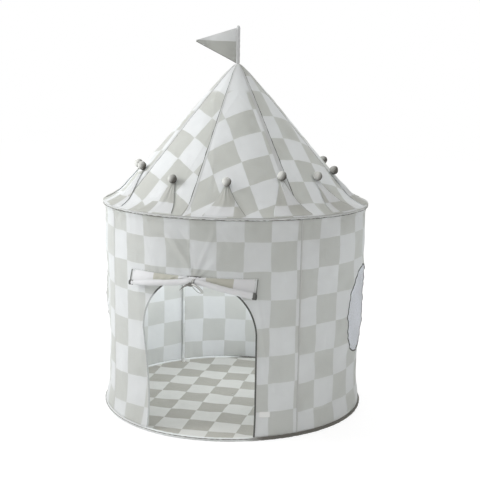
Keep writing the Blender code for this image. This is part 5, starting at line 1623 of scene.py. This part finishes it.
NECK_GATHER_SIZE = 0.026
NECK_GATHER_LEFT = 0.03
NECK_GATHER_REACH = 0.07
NECK_GATHER_SHARE = 0.25
NECK_SAG_SHARE = 0.6
TIE_SIDE = 0.008
TIE_PINCH = 0.22
TIE_PINCH_REACH = 0.011
FLAP_EDGE = 0.009
FLAP_TURN_IN = 0.007
FLAP_TURN_IN_RIGHT = 0.003
FLAP_TAPE_OUT = 0.0009
FLAP_TAPE_THICK = 0.0011
FLAP_TAPE_COLUMNS = 14
FLAP_STITCH_GAP = 0.005
FLAP_STITCH_LIFT = 0.0016
LOOSE_GAP = 0.0006
FLAP_PRINT_SHIFT = 0.0525
FLAP_PRINT_ROW = 0.48
FLAP_SEAM_DROP = 0.0105
FLAP_LIGHT = (0.73, 0.73, 0.745)
# The flap's dark squares are painted darker and more olive than the wall's: painted shade in the neck under
# its seam.
FLAP_SHADED_DARK = (0.52, 0.51, 0.45)
FLAP_SEAM_RISE = 0.003


def roll_middle(side):
    """The middle of the roll at sideways places."""
    share = (side - FLAP_LEFT) / (FLAP_RIGHT - FLAP_LEFT)
    z = FLAP_TOP - ROLL_DROP * np.interp(share, *zip(*ROLL_DROPS))
    off = ROLL_STAND_OFF * np.interp(share, *zip(*ROLL_STAND_OFFS))
    walls = []
    for lift in (-ROLL_HALF_SIGHT, 0, ROLL_HALF_SIGHT):
        walls.append(-wall_place(0, pairs(side, z + lift))[..., 1])
    wall = np.max(walls, axis=0)
    if len(side) > ROLL_SMOOTH_FROM:
        kernel = np.hanning(ROLL_SMOOTH) / np.hanning(ROLL_SMOOTH).sum()
        wall = np.convolve(np.pad(wall, ROLL_SMOOTH // 2, mode="edge"), kernel, mode="valid") + ROLL_REST
        z = np.convolve(np.pad(z, ROLL_SMOOTH // 2, mode="edge"), kernel, mode="valid")
    return np.stack([side, -(wall + LOOSE_GAP + off + ROLL_RADIUS), z], axis=-1)


def flap_sections(side, swelling=0.0):
    """The flap's cloth at sideways places: from its seam down the neck and round into the roll."""
    middle = roll_middle(side)
    seam = wall_place(0, pairs(side, 0 * side + FLAP_TOP - FLAP_SEAM_DROP), CLOTH + LOOSE_GAP)
    turn = np.radians(np.linspace(NECK_TURN, NECK_TURN + 360 * ROLL_TURNS, ROLL_STEPS))[:, None]
    pinch = 1 - TIE_PINCH * bell(side - TIE_SIDE, TIE_PINCH_REACH)[None, :]
    taper = np.interp((side - FLAP_LEFT) / (FLAP_RIGHT - FLAP_LEFT), *zip(*ROLL_TAPERS))[None, :]
    loose = 0
    for tall, pace, size, seed in ROLL_LOOSE:
        loose = loose + tall * swell(side[None, :], turn * pace, size, seed)
    wound = ROLL_PITCH * (turn - turn[0]) / (2 * math.pi)
    away = ((ROLL_RADIUS + loose) * pinch - wound) * taper + swelling
    roll_y = middle[None, :, 1] - away * np.sin(turn)
    roll_z = middle[None, :, 2] + away * np.cos(turn)
    share = np.linspace(0, 1, NECK_STEPS, endpoint=False)[:, None]
    neck_y = seam[None, :, 1] * (1 - share) + roll_y[:1] * share
    neck_z = seam[None, :, 2] * (1 - share) + roll_z[:1] * share
    near_tie = bell(side - TIE_SIDE + NECK_GATHER_LEFT, NECK_GATHER_REACH)[None, :]
    gather = swell(side[None, :] + 0.02 * share, share * 0.02, NECK_GATHER_SIZE, 103)
    gather = gather * (NECK_GATHER_SHARE + near_tie) + NECK_SAG_SHARE
    neck_y = neck_y - NECK_GATHER * np.sin(math.pi * share) * gather - swelling * share
    y = np.concatenate([neck_y, roll_y])
    z = np.concatenate([neck_z, roll_z])
    x = np.broadcast_to(side[None, :], y.shape)
    return np.stack([x, y, z], axis=-1)


def flap_run(points):
    """Distance along the cloth from the seam, in each section."""
    steps = np.linalg.norm(np.diff(points, axis=0), axis=-1)
    return np.concatenate([np.zeros((1, points.shape[1])), np.cumsum(steps, axis=0)])


flap_sides = np.linspace(FLAP_LEFT, FLAP_RIGHT, ROLL_STATIONS)
flap_points = flap_sections(flap_sides)
flap_down = flap_run(flap_points)
flap_share = np.where(np.arange(len(flap_points)) < NECK_STEPS + 3, 1.0, 0.0)[:, None] + 0 * flap_down
flap_print = pairs(flap_points[..., 0] + FLAP_PRINT_SHIFT, FLAP_PRINT_ROW - flap_down)
flap_mesh = cloth_mesh("flap_cloth", flap_points, flap_print, share=flap_share)
flap_cloth = cloth_material("flap_print", FLAP_LIGHT, FLAP_SHADED_DARK, through=0.2)
flap_piece = thicken(show("flap_cloth", flap_mesh, flap_cloth, None, "flap_cloth", "door_flap"))
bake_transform(flap_piece)
flap_ends = ("left", FLAP_LEFT + FLAP_TURN_IN, FLAP_LEFT - FLAP_EDGE)
flap_ends = flap_ends, ("right", FLAP_RIGHT - FLAP_TURN_IN_RIGHT, FLAP_RIGHT + FLAP_EDGE)
for side_name, inner, outer in flap_ends:
    reach = np.linspace(inner, outer, FLAP_TAPE_COLUMNS)
    points = flap_sections(np.clip(reach, FLAP_LEFT, FLAP_RIGHT), FLAP_TAPE_OUT)
    points[..., 0] = reach[None, :]
    prints = pairs(points[..., 0], flap_run(points))
    on_neck = np.arange(len(points))[:, None] < NECK_STEPS
    bound = np.clip((np.linspace(0, 1, FLAP_TAPE_COLUMNS)[None, :] - 0.7) / 0.08, 0.08, 0.95)
    mesh = cloth_mesh("flap_tape", points, prints, share=np.where(on_neck, bound, 1.0))
    piece = show("flap_tape_" + side_name, mesh, tape, None, "dark_tape", "door_flap_binding_" + side_name)
    thicken(piece, FLAP_TAPE_THICK)
    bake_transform(piece)
seam_sides = np.linspace(FLAP_LEFT - FLAP_EDGE, FLAP_RIGHT + FLAP_EDGE, 200)
flap_seam = []
for low in (0.0, FLAP_STITCH_GAP):
    seam_height = FLAP_TOP - FLAP_SEAM_DROP + FLAP_SEAM_RISE - low
    flap_seam.append(wall_place(0, pairs(seam_sides, 0 * seam_sides + seam_height), FLAP_STITCH_LIFT))
sew("flap_seam_stitches", flap_seam, thread_dark, tent, "flap_cloth")

# Ribbon tie: soft grosgrain ribbon, darker than the cloth, wrapped round the roll and knotted.
# It pinches the roll where it goes round, and ends in one loop and one tail.
RIBBON_WIDTH = 0.0085
RIBBON_THICKNESS = 0.0009
RIBBON_CUP = 0.0006
RIBBON_TWIST = 0.0003
RIBBON_EDGE_SHARE = 0.16
RIBBON_STEPS = 90
WRAP_TURNS = (-10, 350)
WRAP_STEPS = 25
WRAP_LIFT = 0.0012
WRAP_BREADTH = (1, 0, 0.12)
WRAP_SHADE = 0.35
BOW_WIDTH = 0.0075
KNOT_RADIUS = 0.0075
KNOT_AT = (-0.006, 0, -0.005)
KNOT_SIDES = 40
KNOT_RINGS = 24
KNOT_LUMPS = 0.16
KNOT_SHARES = (1.5, 0.8)
# The knot is painted dark: painted shade in its wrapped folds.
KNOT_SHADE = 0.9
LOOP_SHADE = 0.1
TAIL_SHADE = 0.85
# Places along the loop and the tail, from the knot, each with the way that the ribbon's width lies.
LOOP_STEPS = (
    (0.000, 0.000, 0.000, 0, 0.5, 1),
    (0.012, -0.006, 0.002, 0.1, 0.7, 1),
    (0.030, -0.008, -0.006, 0.3, 0.8, 0.8),
    (0.043, -0.004, -0.020, 0.8, 0.6, 0.5),
    (0.040, 0.001, -0.028, 0.9, 0.6, -0.4),
    (0.028, -0.002, -0.024, 0.2, 0.8, -0.6),
    (0.012, -0.003, -0.010, 0, 0.7, -0.8),
    (0.000, 0.000, 0.000, 0, 0.6, -1),
)
TAIL_STEPS = (
    (0.000, 0.000, 0.000, 0, 0.4, 1),
    (-0.012, -0.005, -0.002, 0, 0.5, 1),
    (-0.026, -0.003, -0.010, 0.3, 0.7, 0.8),
    (-0.040, 0.002, -0.022, 0.5, 0.8, 0.5),
)
RIBBON_LIGHT = (0.62, 0.62, 0.60)
RIBBON_DARK = (0.10, 0.095, 0.085)


def smooth_route(points, steps):
    """A smooth path through points."""
    points = np.asarray(points, float)
    padded = np.concatenate([2 * points[:1] - points[1:2], points, 2 * points[-1:] - points[-2:-1]])
    place = np.linspace(0, len(points) - 1, steps)
    span = np.minimum(place.astype(int), len(points) - 2)
    share = (place - span)[:, None]
    p0, p1, p2, p3 = (padded[span + k] for k in range(4))
    bend = 2 * p1 + (p2 - p0) * share + (2 * p0 - 5 * p1 + 4 * p2 - p3) * share ** 2
    return (bend + (3 * p1 - p0 - 3 * p2 + p3) * share ** 3) / 2


def ribbon(name, route, breadth, dark, wide):
    """A flat ribbon along a route. The breadth directions say which way its width lies."""
    middle = smooth_route(route, RIBBON_STEPS)
    side = smooth_route(breadth, RIBBON_STEPS)
    along = np.gradient(middle, axis=0)
    along = along / np.linalg.norm(along, axis=1)[:, None]
    side = side - (side * along).sum(axis=1)[:, None] * along
    side = side / np.linalg.norm(side, axis=1)[:, None]
    normal = np.cross(along, side)
    across = np.linspace(-0.5, 0.5, 9)[:, None, None]
    cup = RIBBON_CUP * np.cos(across * math.pi) + RIBBON_TWIST * np.sin(across * 9)
    points = middle[None] + across * wide * side[None] + cup * normal[None]
    run = np.concatenate([[0], np.cumsum(np.linalg.norm(np.diff(middle, axis=0), axis=1))])
    prints = pairs(run[None, :], across[..., 0] * wide)
    share = dark + (1 - dark) * bell(0.5 - np.abs(across[..., 0]), RIBBON_EDGE_SHARE) + 0 * run[None, :]
    mesh = cloth_mesh(name, points, prints, share=share)
    piece = show(name, mesh, grosgrain, None, "ribbon_cloth", "door_tie")
    thicken(piece, RIBBON_THICKNESS)
    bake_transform(piece)


grosgrain = plain_cloth("grosgrain", RIBBON_LIGHT, RIBBON_DARK, through=0, rough=0.6)
roll_centre = roll_middle(np.linspace(FLAP_LEFT, FLAP_RIGHT, ROLL_STATIONS))
roll_centre = roll_centre[np.argmin(np.abs(roll_centre[:, 0] - TIE_SIDE))]
wrap_turn = np.radians(np.linspace(*WRAP_TURNS, WRAP_STEPS))
wrap_away = ROLL_RADIUS * (1 - TIE_PINCH) + WRAP_LIFT
wrap_route = [roll_centre + wrap_away * np.array([0, -math.sin(turn), math.cos(turn)]) for turn in wrap_turn]
ribbon("tie_wrap", wrap_route, [WRAP_BREADTH] * WRAP_STEPS, WRAP_SHADE, RIBBON_WIDTH)
knot = roll_centre + KNOT_AT + (0, -wrap_away - KNOT_RADIUS * 0.6, 0)
for name, steps, dark in (("tie_loop", LOOP_STEPS, LOOP_SHADE), ("tie_tail", TAIL_STEPS, TAIL_SHADE)):
    route = [knot + step[:3] for step in steps]
    ribbon(name, route, [step[3:] for step in steps], dark, BOW_WIDTH)
knot_turn = np.linspace(0, 2 * math.pi, KNOT_SIDES, endpoint=False)[None, :]
knot_rise = np.linspace(0.02, 0.98, KNOT_RINGS)[:, None] * math.pi
knot_size = KNOT_RADIUS * (1 + KNOT_LUMPS * np.sin(3 * knot_turn + 2 * knot_rise) * np.sin(knot_rise))
knot_x = knot_size * np.sin(knot_rise) * np.cos(knot_turn) * KNOT_SHARES[0]
knot_y = knot_size * np.sin(knot_rise) * np.sin(knot_turn) * KNOT_SHARES[1]
knot_points = knot + np.stack([knot_x, knot_y, knot_size * np.cos(knot_rise)], axis=-1)
knot_share = np.full(knot_x.shape, KNOT_SHADE)
knot_mesh = cloth_mesh("tie_knot", knot_points, knot_points[..., :2], ring=True, share=knot_share)
knot_piece = show("tie_knot", knot_mesh, grosgrain, None, "ribbon_cloth", "door_tie")
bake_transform(knot_piece)

# Frame: glass-fibre rods, with moulded nylon feet, elbows and hub, and a tape cap on the flag pole.
# These are the CAD's own pieces, with the finish of the real ones.
ROD_COLOUR = (0.62, 0.62, 0.60)
NYLON_COLOUR = (0.78, 0.78, 0.76)
ROD_STREAKS = (1.0, 1.0, 0.05)

rod_finish = hard_material("glass_fibre", ROD_COLOUR, 0.42, streaks=ROD_STREAKS)
nylon_finish = hard_material("nylon", NYLON_COLOUR, 0.5)
finishes = {"pole": rod_finish, "elbow": nylon_finish, "foot": nylon_finish, "hub": nylon_finish}
finishes["flag_cap"] = tape
for piece in list(bpy.context.scene.objects):
    for word, finish in finishes.items():
        if piece.type == "MESH" and not piece.get("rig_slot") and word in piece.name:
            piece.data.materials.clear()
            piece.data.materials.append(finish)
